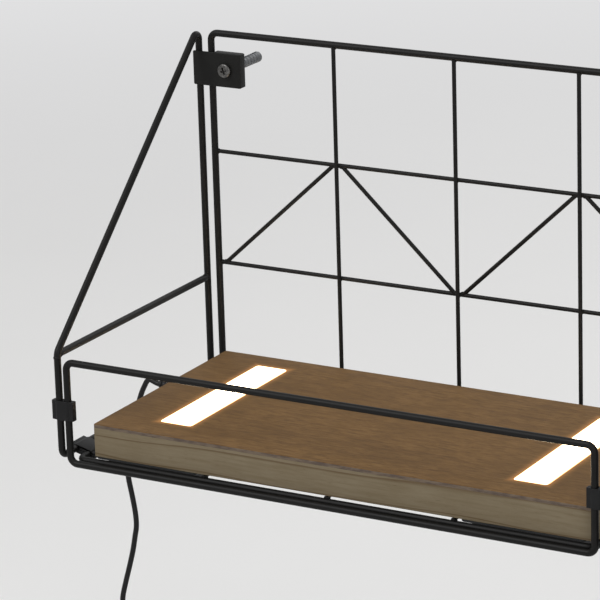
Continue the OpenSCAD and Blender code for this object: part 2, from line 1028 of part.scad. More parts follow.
module switch_screws() {
    color("#6a6a6c")
        translate(switch_centre)
            for (s = [-1, 1])
                translate([0, 0, s * switch_screw_z])
                    rotate([-90, 0, 0])
                        difference() {
                            union() {
                                translate([0, 0, -3.5])
                                    cylinder(h = 10, r = case_screw_r);
                                translate([0, 0, switch_t / 2 - 1.5])
                                    cylinder(h = 1.3, r = case_screw_head_r);
                            }
                            translate([-1.5, -0.3, switch_t / 2 - 0.9])
                                cube([3, 0.6, 2]);
                            translate([-0.3, -1.5, switch_t / 2 - 0.9])
                                cube([0.6, 3, 2]);
                        }
}

// ---- Mains plug ----

// Flat two-pin plug, cut to its outline from the front and from the side
module plug_body() {
    neck_l = 8;
    flare_l = 25;
    half = [[5, 0], [6, neck_l], [plug_w / 2, flare_l], [plug_w / 2, plug_l_body]];
    thick = [[4.2, 0], [5, neck_l + 4], [plug_t / 2, flare_l - 1], [plug_t / 2, plug_l_body]];
    color("#1d1d1e")
        translate([hang_x, coil_last_y, plug_top_z])
            difference() {
                intersection() {
                    rotate([-90, 0, 0])
                        linear_extrude(plug_t + 2, center = true)
                            polygon(concat(half, [for (i = [3:-1:0]) [-half[i].x, half[i].y]]));
                    rotate([-90, 0, 0])
                        rotate([0, 90, 0])
                            linear_extrude(plug_w + 2, center = true)
                                polygon(concat(thick, [for (i = [3:-1:0]) [-thick[i].x, thick[i].y]]));
                }
                for (s = [-1, 1])
                    translate([s * pin_spacing / 2, 0, -plug_l_body - 1])
                        cylinder(h = pin_in + 1, r = pin_r);
            }
}

module plug_pins() {
    color("#c8c8cc")
        translate([hang_x, coil_last_y, plug_top_z - plug_l_body])
            for (s = [-1, 1])
                translate([s * pin_spacing / 2, 0, 0]) {
                    translate([0, 0, -pin_l + pin_r])
                        cylinder(h = pin_l - pin_r + pin_in, r = pin_r);
                    translate([0, 0, -pin_l + pin_r])
                        sphere(pin_r);
                }
}

panel_frame();
upright(-upright_pitch);  // left_upright
upright(0);  // middle_upright
upright(upright_pitch);  // right_upright
level_wire(upper_wire_z);  // upper_level_wire
level_wire(lower_wire_z);  // lower_level_wire
zigzag_braces();
on_side(false) side_frame();  // left_side_frame
on_side(true) side_frame();  // right_side_frame
on_side(false) crossbar();  // left_crossbar
on_side(true) crossbar();  // right_crossbar
front_fence();
on_side(false) bracket();  // left_bracket
on_side(true) bracket();  // right_bracket
on_side(false) wall_screw();  // left_wall_screw
on_side(true) wall_screw();  // right_wall_screw
on_side(false) wall_plug();  // left_wall_plug
on_side(true) wall_plug();  // right_wall_plug
on_side(false) fence_clip(-1);  // left_clip_front
on_side(false) fence_clip(1);  // left_clip_back
on_side(true) fence_clip(-1);  // right_clip_front
on_side(true) fence_clip(1);  // right_clip_back
on_side(false) lower_clip(1);  // left_lower_clip_upper
on_side(false) lower_clip(-1);  // left_lower_clip_lower
on_side(true) lower_clip(1);  // right_lower_clip_upper
on_side(true) lower_clip(-1);  // right_lower_clip_lower
on_board() shelf_core();
on_board() shelf_top();
on_board() on_side(false) diffuser();  // left_diffuser
on_board() on_side(true) diffuser();  // right_diffuser
on_board() on_side(false) light_tray();  // left_light_tray
on_board() on_side(true) light_tray();  // right_light_tray
on_board() on_side(false) led_board();  // left_led_board
on_board() on_side(true) led_board();  // right_led_board
on_board() on_side(false) led_chips();  // left_led_chips
on_board() on_side(true) led_chips();  // right_led_chips
on_board() on_side(false) cover(left_plate_ends, left_box_ends);  // left_cover
on_board() on_side(true) cover(right_plate_ends, right_box_ends);  // right_cover
on_board() on_side(false) cover_screws();  // left_cover_screws
on_board() on_side(true) cover_screws();  // right_cover_screws
on_board() led_driver();
on_board() terminal_block();
on_board() supply_tail();
on_board() left_led_lead();
on_board() link_cable();
on_board() strain_relief();
upper_cord();
switch_front_shell();
switch_back_shell();
switch_rocker();
switch_contacts();
switch_screws();
middle_cord();
cord_coil();
coil_tie();
plug_lead();
plug_body();
plug_pins();
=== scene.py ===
import bmesh
import bpy
import numpy as np
from mathutils import Matrix, Vector
from mathutils.geometry import tessellate_polygon


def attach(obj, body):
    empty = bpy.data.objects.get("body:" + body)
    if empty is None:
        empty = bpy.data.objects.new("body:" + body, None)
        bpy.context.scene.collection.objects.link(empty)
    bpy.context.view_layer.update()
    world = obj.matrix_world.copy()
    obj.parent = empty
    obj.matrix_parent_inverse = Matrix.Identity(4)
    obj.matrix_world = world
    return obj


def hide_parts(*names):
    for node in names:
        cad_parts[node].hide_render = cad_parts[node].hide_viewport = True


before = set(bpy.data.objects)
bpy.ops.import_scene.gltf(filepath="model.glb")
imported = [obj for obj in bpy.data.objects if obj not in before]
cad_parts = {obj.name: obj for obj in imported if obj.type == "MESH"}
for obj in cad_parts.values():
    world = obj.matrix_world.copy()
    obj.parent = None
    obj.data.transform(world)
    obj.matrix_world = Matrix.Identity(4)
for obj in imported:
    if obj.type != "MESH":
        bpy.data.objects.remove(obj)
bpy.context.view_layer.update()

# ---- View ----
# The photograph was taken from the right of the shelf and a little above it, with a long lens.
# The viewpoint comes from the photograph's straight wires, the board and the fence.
to_right = np.array([0.868379, 0.495067, -0.028874])
to_top = np.array([-0.123871, 0.272927, 0.954026])
to_back = np.cross(to_right, to_top)
camera_at = (1.12891, -2.16451, 0.61523)
camera = bpy.data.objects.new("camera", bpy.data.cameras.new("camera"))
camera.data.lens = 216.90
camera.data.sensor_width = 36
camera.data.clip_start = 0.05
camera.data.clip_end = 60
turn = np.column_stack([to_right, to_top, to_back])
camera.matrix_world = Matrix([[*row, place] for row, place in zip(turn, camera_at)] + [[0, 0, 0, 1]])
bpy.context.scene.collection.objects.link(camera)
bpy.context.scene.camera = camera
bpy.context.scene.view_settings.view_transform = "Standard"


# ---- Studio ----
# A plain pale floor below the hanging lead, a pale sky all round, and three soft panels of light.
# They are set so that a surface comes out about as bright as its written colour.
def srgb(code):
    """Linear colour from an sRGB hex code: c / 12.92 below 0.04045, else ((c + 0.055) / 1.055) ^ 2.4."""
    c = np.array([int(code[i : i + 2], 16) for i in (1, 3, 5)]) / 255
    return [*np.where(c < 0.04045, c / 12.92, ((c + 0.055) / 1.055) ** 2.4), 1.0]


def add(tree, kind, inputs=None, **settings):
    """One shader node of a kind, with its settings, and each input set to a value or linked from a socket."""
    node = tree.nodes.new("ShaderNode" + kind)
    for name, value in settings.items():
        setattr(node, name, value)
    for name, value in (inputs or {}).items():
        if isinstance(value, bpy.types.NodeSocket):
            tree.links.new(value, node.inputs[name])
        else:
            node.inputs[name].default_value = value
    return node


def new_material(name):
    """An empty node material, its tree and its output node."""
    material = bpy.data.materials.new(name)
    material.use_nodes = True
    material.node_tree.nodes.clear()
    return material, material.node_tree, add(material.node_tree, "OutputMaterial")


def maths(tree, operation, *values):
    """The outcome of one operation on numbers or sockets."""
    return add(tree, "Math", dict(enumerate(values)), operation=operation).outputs[0]


def on_object(tree):
    """The place of each point on the object, in metres."""
    return add(tree, "TexCoord").outputs["Object"]


def noise(tree, place, scale, detail, rough=0.5):
    """Noise from 0 to 1 over a place: scale cells to the metre, and detail finer layers."""
    settings = {"Vector": place, "Scale": scale, "Detail": detail, "Roughness": rough}
    return add(tree, "TexNoise", settings).outputs["Fac"]


def fade(tree, value, start, end, low=0.0, high=1.0, kind="LINEAR"):
    """Carries a value that goes from start to end over to low to high, and holds it there beyond them."""
    limits = {"Value": value, "From Min": start, "From Max": end, "To Min": low, "To Max": high}
    return add(tree, "MapRange", limits, interpolation_type=kind).outputs["Result"]


def ramp(tree, value, *stops):
    """Colour ramp over a value: stops are (place, hex colour) pairs."""
    node = add(tree, "ValToRGB", {"Fac": value})
    while len(node.color_ramp.elements) < len(stops):
        node.color_ramp.elements.new(0.5)
    for element, (place, code) in zip(node.color_ramp.elements, stops):
        element.position = place
        element.color = srgb(code)
    return node.outputs["Color"]


def background_rays(tree):
    """1 for a ray that shows the background: straight from the camera, mirrored, or through clear plastic."""
    path = add(tree, "LightPath").outputs
    direct = maths(tree, "MAXIMUM", path["Is Camera Ray"], path["Is Transmission Ray"])
    return maths(tree, "MAXIMUM", direct, path["Is Glossy Ray"])


sky_tone, sky_strength = srgb("#e9e9ea"), 0.95
world = bpy.data.worlds.new("studio")
bpy.context.scene.world = world
world.use_nodes = True
world.node_tree.nodes.clear()
sky = world.node_tree
lit = add(sky, "Background", {"Color": srgb("#f6f5f3"), "Strength": 0.36})
shown = add(sky, "Background", {"Color": sky_tone, "Strength": sky_strength})
both = add(sky, "MixShader", {0: background_rays(sky), 1: lit.outputs[0], 2: shown.outputs[0]})
add(sky, "OutputWorld", {"Surface": both.outputs[0]})

for name, place, size, watts in (
    ("key", (-1.3, -2.2, 2.3), 1.6, 70),
    ("fill", (2.4, -1.9, 1.0), 1.8, 24),
    ("rear", (0.3, 2.4, 1.7), 1.8, 26),
):
    lamp = bpy.data.objects.new(name, bpy.data.lights.new(name, "AREA"))
    lamp.data.size = size
    lamp.data.energy = watts
    aim = Vector((0, -0.1, -0.12)) - Vector(place)
    lamp.matrix_world = Matrix.Translation(place) @ aim.to_track_quat("-Z", "Y").to_matrix().to_4x4()
    bpy.context.scene.collection.objects.link(lamp)

floor_paint, tree, out = new_material("pale_matt_floor_paint")
place = on_object(tree)
tone = ramp(tree, noise(tree, place, 3.0, 4.0), (0.0, "#f1f1f1"), (1.0, "#f6f6f6"))
matt = add(tree, "BsdfPrincipled", {"Base Color": tone, "Roughness": 0.9})
# Far from the lamp the floor passes into the sky's tone, and from below it isn't seen
far = add(tree, "VectorMath", {0: place}, operation="LENGTH").outputs["Value"]
horizon = maths(tree, "MULTIPLY", fade(tree, far, 1.2, 3.6, kind="SMOOTHSTEP"), background_rays(tree))
pale = add(tree, "Emission", {"Color": sky_tone, "Strength": sky_strength})
merged = add(tree, "MixShader", {0: horizon, 1: matt.outputs[0], 2: pale.outputs[0]})
behind = add(tree, "NewGeometry").outputs["Backfacing"]
clear = add(tree, "BsdfTransparent").outputs[0]
open_below = add(tree, "MixShader", {0: behind, 1: merged.outputs[0], 2: clear})
tree.links.new(open_below.outputs[0], out.inputs["Surface"])


def full_turn(count):
    """Equal angles round a full turn."""
    return np.linspace(0, 2 * np.pi, count, endpoint=False)


floor_r, floor_z, floor_sides = 14.0, -0.60, 96
angle = full_turn(floor_sides)
rim = np.column_stack([floor_r * np.cos(angle), floor_r * np.sin(angle), np.full(floor_sides, floor_z)])
floor_mesh = bpy.data.meshes.new("floor")
floor_mesh.from_pydata(rim.tolist(), [], [list(range(floor_sides))])
floor = bpy.data.objects.new("floor", floor_mesh)
floor_mesh.materials.append(floor_paint)
bpy.context.scene.collection.objects.link(floor)


# ---- Wire frames ----
# Cold-drawn mild steel wire, 5 mm for the outlines and 3 mm for the grid. It is bent round pins,
# butt welded into loops, and spot welded where two wires cross, before it is powder coated.
def cast_surface(material, tree, out, colour, roughness, bump=None, **more):
    """Ends a material: one Principled surface with a base colour, a roughness and, if given, a bump."""
    inputs = {"Base Color": colour, "Roughness": roughness}
    inputs.update({name.replace("_", " "): value for name, value in more.items()})
    if bump is not None:
        inputs["Normal"] = bump.outputs["Normal"]
    surface = add(tree, "BsdfPrincipled", inputs)
    tree.links.new(surface.outputs[0], out.inputs["Surface"])
    return material


def powder_coat(name, tint_a, tint_b, sheen):
    """Polyester powder on steel, baked: a satin film with a faint orange peel. The peel's dimples
    are 0.4 mm across on the real wire, and 0.9 mm here, so that they still break up the highlight."""
    material, tree, out = new_material(name)
    place = on_object(tree)
    cloud = noise(tree, place, 1 / 0.02, 3.0)
    colour = ramp(tree, cloud, (0.35, tint_a), (0.65, tint_b))
    rough = fade(tree, cloud, 0, 1, sheen - 0.07, sheen + 0.07)
    peel = noise(tree, place, 1 / 0.0009, 2.0)
    bump = add(tree, "Bump", {"Height": peel, "Strength": 0.25, "Distance": 0.00006})
    return cast_surface(material, tree, out, colour, rough, bump, IOR=1.5, Specular_IOR_Level=0.17)


wire_coat = powder_coat("black_polyester_powder_coat", "#0a0a09", "#100f0e", 0.5)


def unit(directions):
    """The same directions, each at length 1."""
    return directions / np.linalg.norm(directions, axis=-1, keepdims=True)


def bend_path(corners, bends, closed=False, steps=9):
    """Centreline of a bent wire. At corner p the wire turns from direction u to v on an arc of radius R,
    which starts at p - R tan(turn / 2) u and is start + R (sin a u + (1 - cos a) n), n the inward side."""
    corners = np.array(corners, float)
    count = len(corners)
    points = []
    for i in range(count):
        if not closed and i in (0, count - 1):
            points.append(corners[i][None])
            continue
        u = unit(corners[i] - corners[i - 1])
        v = unit(corners[(i + 1) % count] - corners[i])
        turn = np.arccos(np.clip(u @ v, -1, 1))
        inward = unit(v - (v @ u) * u)
        a = np.linspace(0, turn, steps)[:, None]
        start = corners[i] - bends[i] * np.tan(turn / 2) * u
        points.append(start + bends[i] * (np.sin(a) * u + (1 - np.cos(a)) * inward))
    return np.concatenate(points)


def smooth_path(points):
    """Catmull-Rom curve through points: each stretch blends its four nearest points by cubics of t."""
    p = np.array(points, float)
    p = np.concatenate([[2 * p[0] - p[1]], p, [2 * p[-1] - p[-2]]])
    t = np.linspace(0, 1, 6, endpoint=False)[None, :, None]
    a, b, c, d = (p[i : len(p) - 3 + i, None] for i in range(4))
    curve = 0.5 * (2 * b + (c - a) * t + (2 * a - 5 * b + 4 * c - d) * t**2 + (3 * b - a - 3 * c + d) * t**3)
    return np.concatenate([curve.reshape(-1, 3), p[-2:-1]])


def grid_faces(rows, columns, wrap_rows=False):
    """Quads of a grid of points whose columns close on themselves, and whose rows do if wanted."""
    i = np.arange(rows if wrap_rows else rows - 1)[:, None] * columns
    j = np.arange(columns)[None]
    k = (i + columns) % (rows * columns)
    return np.stack([i + j, i + (j + 1) % columns, k + (j + 1) % columns, k + j], -1).reshape(-1, 4).tolist()


def loft(rings, wrap_rows=False):
    """Closed shell through rings, an array of ring by point by xyz. Its two ends are capped."""
    rings = np.array(rings)
    rows, columns = rings.shape[:2]
    faces = grid_faces(rows, columns, wrap_rows)
    if not wrap_rows:
        faces += [list(range(columns)), list(range((rows - 1) * columns, rows * columns))]
    return rings.reshape(-1, 3), faces


def quarter_circle(radius, count):
    """Steps of a rounded edge, a from 0 to 90 degrees: r (1 - sin a) inwards and r (1 - cos a) upwards."""
    a = np.linspace(0, np.pi / 2, count)
    return radius * (1 - np.sin(a)), radius * (1 - np.cos(a))


def sweep(path, radius, sides, closed=False, edge=0.0):
    """Round bar along a path: path + r (cos b s + sin b t x s), where s is a fixed slanted direction made
    square to the tangent t. An open bar's ends are rounded over by edge."""
    path = np.array(path, float)
    along = unit(np.roll(path, -1, 0) - np.roll(path, 1, 0) if closed else np.gradient(path, axis=0))
    radii = np.full(len(path), float(radius))
    if edge:
        inset, drop = quarter_circle(edge, 5)
        first = path[0] + along[0] * inset[:, None]
        last = path[-1] - along[-1] * inset[:, None]
        path = np.concatenate([first[::-1], path[1:-1], last])
        radii = np.concatenate([radius - drop[::-1], radii[1:-1], radius - drop])
        along = np.concatenate([np.repeat(along[:1], 5, 0), along[1:-1], np.repeat(along[-1:], 5, 0)])
    slant = np.array([0.53, 0.61, 0.59])
    side = unit(slant - (along @ slant)[:, None] * along)
    across = np.cross(along, side)
    b = full_turn(sides)[None, :, None]
    spokes = np.cos(b) * side[:, None] + np.sin(b) * across[:, None]
    rings = path[:, None] + radii[:, None, None] * spokes
    return loft(rings, closed)


def on_side(side, shells):
    """Shells made for the left as they are, or the same on the right: x changes sign."""
    flip = [1 if side == "left" else -1, 1, 1]
    return [(points * flip, faces) for points, faces in shells]


def joined(shells):
    """All points of several shells, and all their faces, numbered to match."""
    points, faces, count = [], [], 0
    for shell_points, shell_faces in shells:
        points.append(shell_points)
        faces += [[count + i for i in face] for face in shell_faces]
        count += len(shell_points)
    return np.concatenate(points), faces


def make_piece(name, shells, material, replaces, body="lamp"):
    """Joins closed shells, given in millimetres, into one mesh in metres whose faces point outwards."""
    points, faces = joined(shells)
    mesh = bpy.data.meshes.new(name)
    mesh.from_pydata((points / 1000).tolist(), [], faces)
    shaped = bmesh.new()
    shaped.from_mesh(mesh)
    bmesh.ops.recalc_face_normals(shaped, faces=shaped.faces)
    shaped.to_mesh(mesh)
    shaped.free()
    mesh.shade_smooth()
    mesh.set_sharp_from_angle(angle=np.radians(35))
    mesh.materials.append(material)
    piece = bpy.data.objects.new(name, mesh)
    bpy.context.scene.collection.objects.link(piece)
    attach(piece, body)
    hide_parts(*([replaces] if isinstance(replaces, str) else replaces))
    return piece


def make_pair(name, shells, material, node):
    """A piece on the left and its mirror image on the right."""
    for side in ("left", "right"):
        make_piece(f"{side}_{name}", on_side(side, shells), material, f"{side}_{node}")


thick, thin = 2.5, 1.5
corner_bend, rack_bend = 5.5, 8
base = -237.0
wall_y = -2.5
rack_y, rack_z = -198.2, base + 1.5
panel_x, panel_top = 197.0, base + 263
panel_loop = bend_path(
    [
        (-panel_x, wall_y, panel_top),
        (panel_x, wall_y, panel_top),
        (panel_x, wall_y, rack_z),
        (panel_x, rack_y, rack_z),
        (-panel_x, rack_y, rack_z),
        (-panel_x, wall_y, rack_z),
    ],
    [corner_bend, corner_bend, rack_bend] * 2,
    closed=True,
)
panel_rod = sweep(panel_loop, thick, 28, closed=True)
make_piece("panel_loop", [panel_rod], wire_coat, "panel_frame")

upright_pitch, upright_y, run_z = 95.6, -3.9, base + 4.6
for name, x in (("left_upright", -upright_pitch), ("middle_upright", 0.0), ("right_upright", upright_pitch)):
    corners = [(x, upright_y, panel_top - 1.2), (x, upright_y, run_z), (x, rack_y - 1.2, run_z)]
    rod = sweep(bend_path(corners, [0, 4, 0]), thin, 24, edge=0.5)
    make_piece(name + "_rod", [rod], wire_coat, name)

level_y, level_zs = -1.6, (base + 91, base + 175)
reach = panel_x - thick + 1.2
for name, z in zip(("lower_level_wire", "upper_level_wire"), level_zs):
    rod = sweep(np.linspace((-reach, level_y, z), (reach, level_y, z), 9), thin, 24, edge=0.5)
    make_piece(name + "_rod", [rod], wire_coat, name)

# The zig-zag: four rods cut to length and butted 3 mm short of the crossings, each end ground round.
bays = np.array([-panel_x + thick, -upright_pitch, 0, upright_pitch, panel_x - thick])
brace_gap = 3
brace_ends = [
    ((bays[i] + brace_gap, level_y, level_zs[i % 2]), (bays[i + 1] - brace_gap, level_y, level_zs[1 - i % 2]))
    for i in range(4)
]
braces = [sweep(np.linspace(start, end, 5), thin, 24, edge=0.9) for start, end in brace_ends]
make_piece("zigzag_rods", braces, wire_coat, "zigzag_braces")

side_x, front_y, slope = 207.4, -203.5, np.radians(42.9)
side_y, side_low, peak_cut = wall_y - 0.1, base + 4.3, base + 257.3
peak_bend, kink_bend = 4, 8
# How far before the peak and the kink the wire starts to bend: R tan(turn / 2)
peak_take = peak_bend * np.tan((np.pi / 2 + slope) / 2)
kink_take = kink_bend * np.tan((np.pi / 2 - slope) / 2)
peak_z = peak_cut + peak_take
bend_z = peak_z - (side_y - front_y) * np.tan(slope)
side_corners = [(side_y, side_low), (side_y, peak_z), (front_y, bend_z), (front_y, side_low)]
side_bends = [corner_bend, peak_bend, kink_bend, corner_bend]
side_loop = bend_path([(-side_x, y, z) for y, z in side_corners], side_bends, closed=True, steps=13)
side_rod = sweep(side_loop, thick, 28, closed=True)
crossbar_z = base + 78.4
crossbar = np.linspace((-side_x, side_y - 1.3, crossbar_z), (-side_x, front_y + 1.3, crossbar_z), 9)
cross_rod = sweep(crossbar, thick, 28)
make_pair("triangle", [side_rod], wire_coat, "side_frame")
make_pair("cross_rod", [cross_rod], wire_coat, "crossbar")

fence_x, fence_top = 200.5, base + 73.7
fence_corners = [(-fence_x, base), (-fence_x, fence_top), (fence_x, fence_top), (fence_x, base)]
fence_loop = bend_path([(x, front_y, z) for x, z in fence_corners], [corner_bend] * 4, closed=True)
fence_rod = sweep(fence_loop, thick, 28, closed=True)
make_piece("fence_loop", [fence_rod], wire_coat, "front_fence")


# ---- Welds ----
# Spot welds where grid wires cross, and fillets where a wire butts on another. The steel flows a
# little into the corner, and the powder gathers there, which rounds it further.
def nugget(centre, radii):
    """Ellipsoid: centre + (rx cos b cos a, ry cos b sin a, rz sin b)."""
    a = full_turn(16)[None]
    b = np.radians(np.linspace(-84, 84, 11))[:, None]
    ball = np.stack([np.cos(b) * np.cos(a), np.cos(b) * np.sin(a), np.sin(b) + 0 * a], -1)
    return loft(ball * radii + centre)


nuggets = []
for x in (-upright_pitch, 0.0, upright_pitch):
    nuggets += [nugget((x, -2.75, z), (2.1, 0.9, 2.1)) for z in level_zs]
    nuggets.append(nugget((x, -3.3, panel_top - 2.2), (2.0, 1.5, 1.3)))
    nuggets.append(nugget((x, rack_y + 2.0, rack_z + 1.9), (2.0, 1.4, 1.2)))
for x in (-panel_x + thick, panel_x - thick):
    nuggets += [nugget((x, level_y, z), (0.9, 1.9, 2.0)) for z in level_zs]
for ends in brace_ends:
    for here, there in (ends, ends[::-1]):
        towards = 1.2 * np.sign(there[2] - here[2])
        nuggets.append(nugget((here[0], level_y, here[2] + towards), (2.0, 1.5, 1.2)))
make_piece("grid_welds", nuggets, wire_coat, ())
for side, sign in (("left", -1), ("right", 1)):
    x = sign * side_x
    welds = [
        nugget((x, side_y - 2.4, crossbar_z), (2.9, 0.9, 2.9)),
        nugget((x, front_y + 2.4, crossbar_z), (2.9, 0.9, 2.9)),
        nugget((x, front_y - 0.25, bend_z - kink_take - 0.2), (2.75, 2.8, 1.9)),
        nugget((x, side_y, base + 257.1), (2.6, 2.55, 1.1)),
    ]
    make_piece(side + "_welds", welds, wire_coat, ())


# ---- Clamp plates ----
# Pressed from 1.5 mm steel sheet: a plate with rounded corners over both wall wires, and lips that
# stand on the wall, so that the screw draws the plate down on the wires. Powder coated like them.
def outline(width, length, corner, inset=0.0, steps=6):
    """Rounded rectangle: four arcs of the corner radius, 90 degrees each, all moved in by inset."""
    radius = max(corner - inset, 0.02)
    a = np.linspace(0, np.pi / 2, steps + 1)[None] + np.arange(4)[:, None] * np.pi / 2
    centre_x = np.array([1, -1, -1, 1])[:, None] * (width / 2 - inset - radius)
    centre_y = np.array([1, 1, -1, -1])[:, None] * (length / 2 - inset - radius)
    return np.stack([centre_x + radius * np.cos(a), centre_y + radius * np.sin(a)], -1).reshape(-1, 2)


def lifted(points, height):
    """Plane points at a height."""
    return np.column_stack([points, np.full(len(points), height)])


def slab(width, length, corner, low, high, edge, centre=(0, 0), steps=6):
    """Round-edged slab between two heights: rounded rectangles that go round a quarter circle at the bottom
    and at the top, and one further in on each face, which keeps the face flat."""
    inset, rise = quarter_circle(edge, 5)
    insets = np.concatenate([[edge + 0.4], inset, inset[::-1], [edge + 0.4]])
    heights = np.concatenate([[low], low + rise, (high - rise)[::-1], [high]])
    rings = zip(insets, heights)
    return loft([lifted(outline(width, length, corner, i, steps) + centre, h) for i, h in rings])


def onto(shells, columns, origin=(0, 0, 0)):
    """Turns shells so that their x, y and z lie along three given directions, and moves them to origin."""
    turn = np.array(columns, float)
    return [(points @ turn + np.array(origin), faces) for points, faces in shells]


def lathe(profile, sides=40, wobble=None):
    """Turned form round z: (r cos a, r sin a, z) for each (r, z) of the profile."""
    profile = np.array(profile, float)
    a = full_turn(sides)[None]
    radius = profile[:, :1] * (1 if wobble is None else wobble(a, profile[:, 1:]))
    return loft(np.stack([radius * np.cos(a), radius * np.sin(a), profile[:, 1:] + 0 * a], -1))


plate_front, plate_back = -6.65, -5.15
plate_coat = powder_coat("black_powder_coat_on_sheet", "#0d0d0c", "#131312", 0.52)
facing_front = [(1, 0, 0), (0, 0, 1), (0, -1, 0)]
lip_high, lip_edge = 5.5, 0.15
sheets = [
    slab(39.4, 25, 1.1, -plate_back, -plate_front, 0.5, (-190.7, 0)),
    slab(1.3, 24.6, 0.6, 0.0, lip_high, lip_edge, (-171.65, 0)),
    slab(22.0, 1.2, 0.5, 0.0, lip_high, lip_edge, (-182.6, -11.9)),
    slab(22.0, 1.2, 0.5, 0.0, lip_high, lip_edge, (-182.6, 11.9)),
]
screw_x = -183.8
spacer = lathe([(2.5, 0), (5, 0), (5, 5.2), (2.5, 5.2)], 36)
plate = onto(sheets, facing_front) + onto([spacer], facing_front, (screw_x, 0, 0))
make_pair("clamp_plate", plate, plate_coat, "bracket")


# ---- Wall screws ----
# Pan-head screws with a cross recess, 4.4 mm by 45 mm, cold headed from steel wire, thread rolled,
# and zinc plated dark grey. The one in the photograph was driven home with its cross aslant.
def zinc(name, dark, light, rough):
    """Plated or rolled metal: soft blotches of two tones, duller where they are lighter."""
    material, tree, out = new_material(name)
    blotch = noise(tree, on_object(tree), 1 / 0.0016, 4.0)
    colour = ramp(tree, blotch, (0.3, dark), (0.7, light))
    sheen = fade(tree, blotch, 0, 1, rough - 0.1, rough + 0.1)
    bump = add(tree, "Bump", {"Height": blotch, "Strength": 0.3, "Distance": 0.00005})
    return cast_surface(material, tree, out, colour, sheen, bump, Metallic=1.0)


screw_zinc = zinc("dark_zinc_plated_steel", "#4c4b4a", "#6e6d6b", 0.38)


def cross_recess(x, y, reach, start, width, taper):
    """1 in a cross-shaped hollow and 0 round it. Each arm fades across its width, and at its end."""
    x, y = np.abs(x) / reach, np.abs(y) / reach
    arm = lambda across, along: np.clip(start - across / width, 0, 1) * np.clip((1 - along) / taper, 0, 1)
    return np.minimum(1.6 * np.maximum(arm(x, y), arm(y, x)), 1)


def cross_head(radius, height, recess, depth):
    """Pan head as a height over a disc: h (0.45 + 0.55 e) (1 - 0.22 (r / R)^2), where e falls from 1 to 0 as
    a quarter circle in the outer 14 % of the radius, less the cross-shaped hollow."""
    rings = np.concatenate([np.linspace(0.02, 0.93, 30), np.cos(np.linspace(0.38, 0, 6))])
    a = full_turn(96)[None]
    r = rings[:, None] * radius
    x, y = r * np.cos(a), r * np.sin(a)
    edge = np.sqrt(np.clip(1 - np.clip((rings[:, None] - 0.86) / 0.14, 0, 1) ** 2, 0, 1))
    dome = height * (0.45 + 0.55 * edge) * (1 - 0.22 * (r / radius) ** 2)
    z = dome - depth * cross_recess(x, y, recess, 1.15, 0.22, 0.25)
    top = np.stack([x, y, z + 0 * a], -1)
    skirt = np.stack([radius * np.cos(a) + 0 * a, radius * np.sin(a), 0 * a], -1)
    return loft(np.concatenate([top, skirt]))


def thread(radius, depth, pitch, low, high):
    """Screw shank: radius less a V groove whose phase runs with height and angle, as a thread does."""
    z = np.linspace(low, high, int((high - low) / pitch * 6))
    taper = np.clip((z - low) / 5, 0.25, 1)
    profile = np.column_stack([np.full(len(z), radius) * taper, z])
    groove = lambda a, h: 1 - depth / radius * np.abs(((h / pitch + a / (2 * np.pi)) % 1) * 2 - 1)
    return lathe(profile, 20, groove)


driven = np.radians(20)
screw_shells = onto(
    [cross_head(5.25, 2.8, 2.7, 1.9), thread(2.2, 0.45, 1.8, -45, 0)],
    [(np.cos(driven), 0, np.sin(driven)), (-np.sin(driven), 0, np.cos(driven)), (0, -1, 0)],
    (screw_x, plate_front, 0),
)
make_pair("pan_screw", screw_shells, screw_zinc, "wall_screw")


# ---- Wall plugs ----
# Injection-moulded polyamide plugs, 8 mm by 40 mm, in the wall behind the screws. They are slit in
# two halves with saw teeth outside, which the screw drives apart.
def moulded(name, dark, light, grain, rough, depth=0.00004, **more):
    """Moulded plastic: a fine spark-eroded texture from the steel mould, drawn about twice as coarse
    as the real 0.2 mm, and slight flow clouds in the colour."""
    material, tree, out = new_material(name)
    place = on_object(tree)
    texture = noise(tree, place, 1 / grain, 2.0)
    cloud = noise(tree, place, 1 / 0.012, 3.0)
    colour = ramp(tree, cloud, (0.35, dark), (0.65, light))
    sheen = fade(tree, cloud, 0, 1, rough - 0.06, rough + 0.06)
    bump = add(tree, "Bump", {"Height": texture, "Strength": 0.4, "Distance": depth})
    return cast_surface(material, tree, out, colour, sheen, bump, IOR=1.5, **more)


plug_nylon = moulded("grey_polyamide", "#4b4e51", "#5a5d60", 0.0005, 0.5)
plug_r, bore_r, slit, plug_l = 4.0, 2.3, 0.6, 40.0


def half_plug(side):
    """Half a ribbed tube: outer radius R less a saw tooth of height, over the half turn between the slits,
    closed through the bore's radius on the way back."""
    z = np.concatenate([[0.0, 0.6], np.linspace(1.2, 39.4, 58), [plug_l]])
    tooth = np.where((z > 9) & (z < 35), 0.45 * ((z - 9) / 4 % 1), 0.0)
    outer = np.where(z < 0.6, plug_r, plug_r - 0.02) - tooth
    outer[-1] = 3.4
    from_slit = np.arcsin(slit / plug_r)
    a = np.linspace(from_slit, np.pi - from_slit, 22)
    way = np.concatenate([a, a[::-1]])
    r = np.where(np.arange(44)[None] >= 22, bore_r, outer[:, None])
    return loft(np.stack([r * np.sin(way) * side, r * np.cos(way), z[:, None] + 0 * r], -1))


collar = lathe([(bore_r, 0), (plug_r, 0), (plug_r, 8.8), (bore_r, 8.8)], 36)
into_wall = [(1, 0, 0), (0, 0, -1), (0, 1, 0)]
plug_shells = onto([half_plug(1), half_plug(-1), collar], into_wall, (screw_x, 0, 0))
make_pair("ribbed_plug", plug_shells, plug_nylon, "wall_plug")


# ---- Clips ----
# Black glass-filled nylon shells, moulded in pairs, that snap over two neighbouring wires and hold
# them side by side: a long eye round both wires, and a wing on either side to press them shut.
clip_nylon = moulded("black_glass_filled_nylon", "#0b0b0c", "#121213", 0.0006, 0.5, Specular_IOR_Level=0.2)


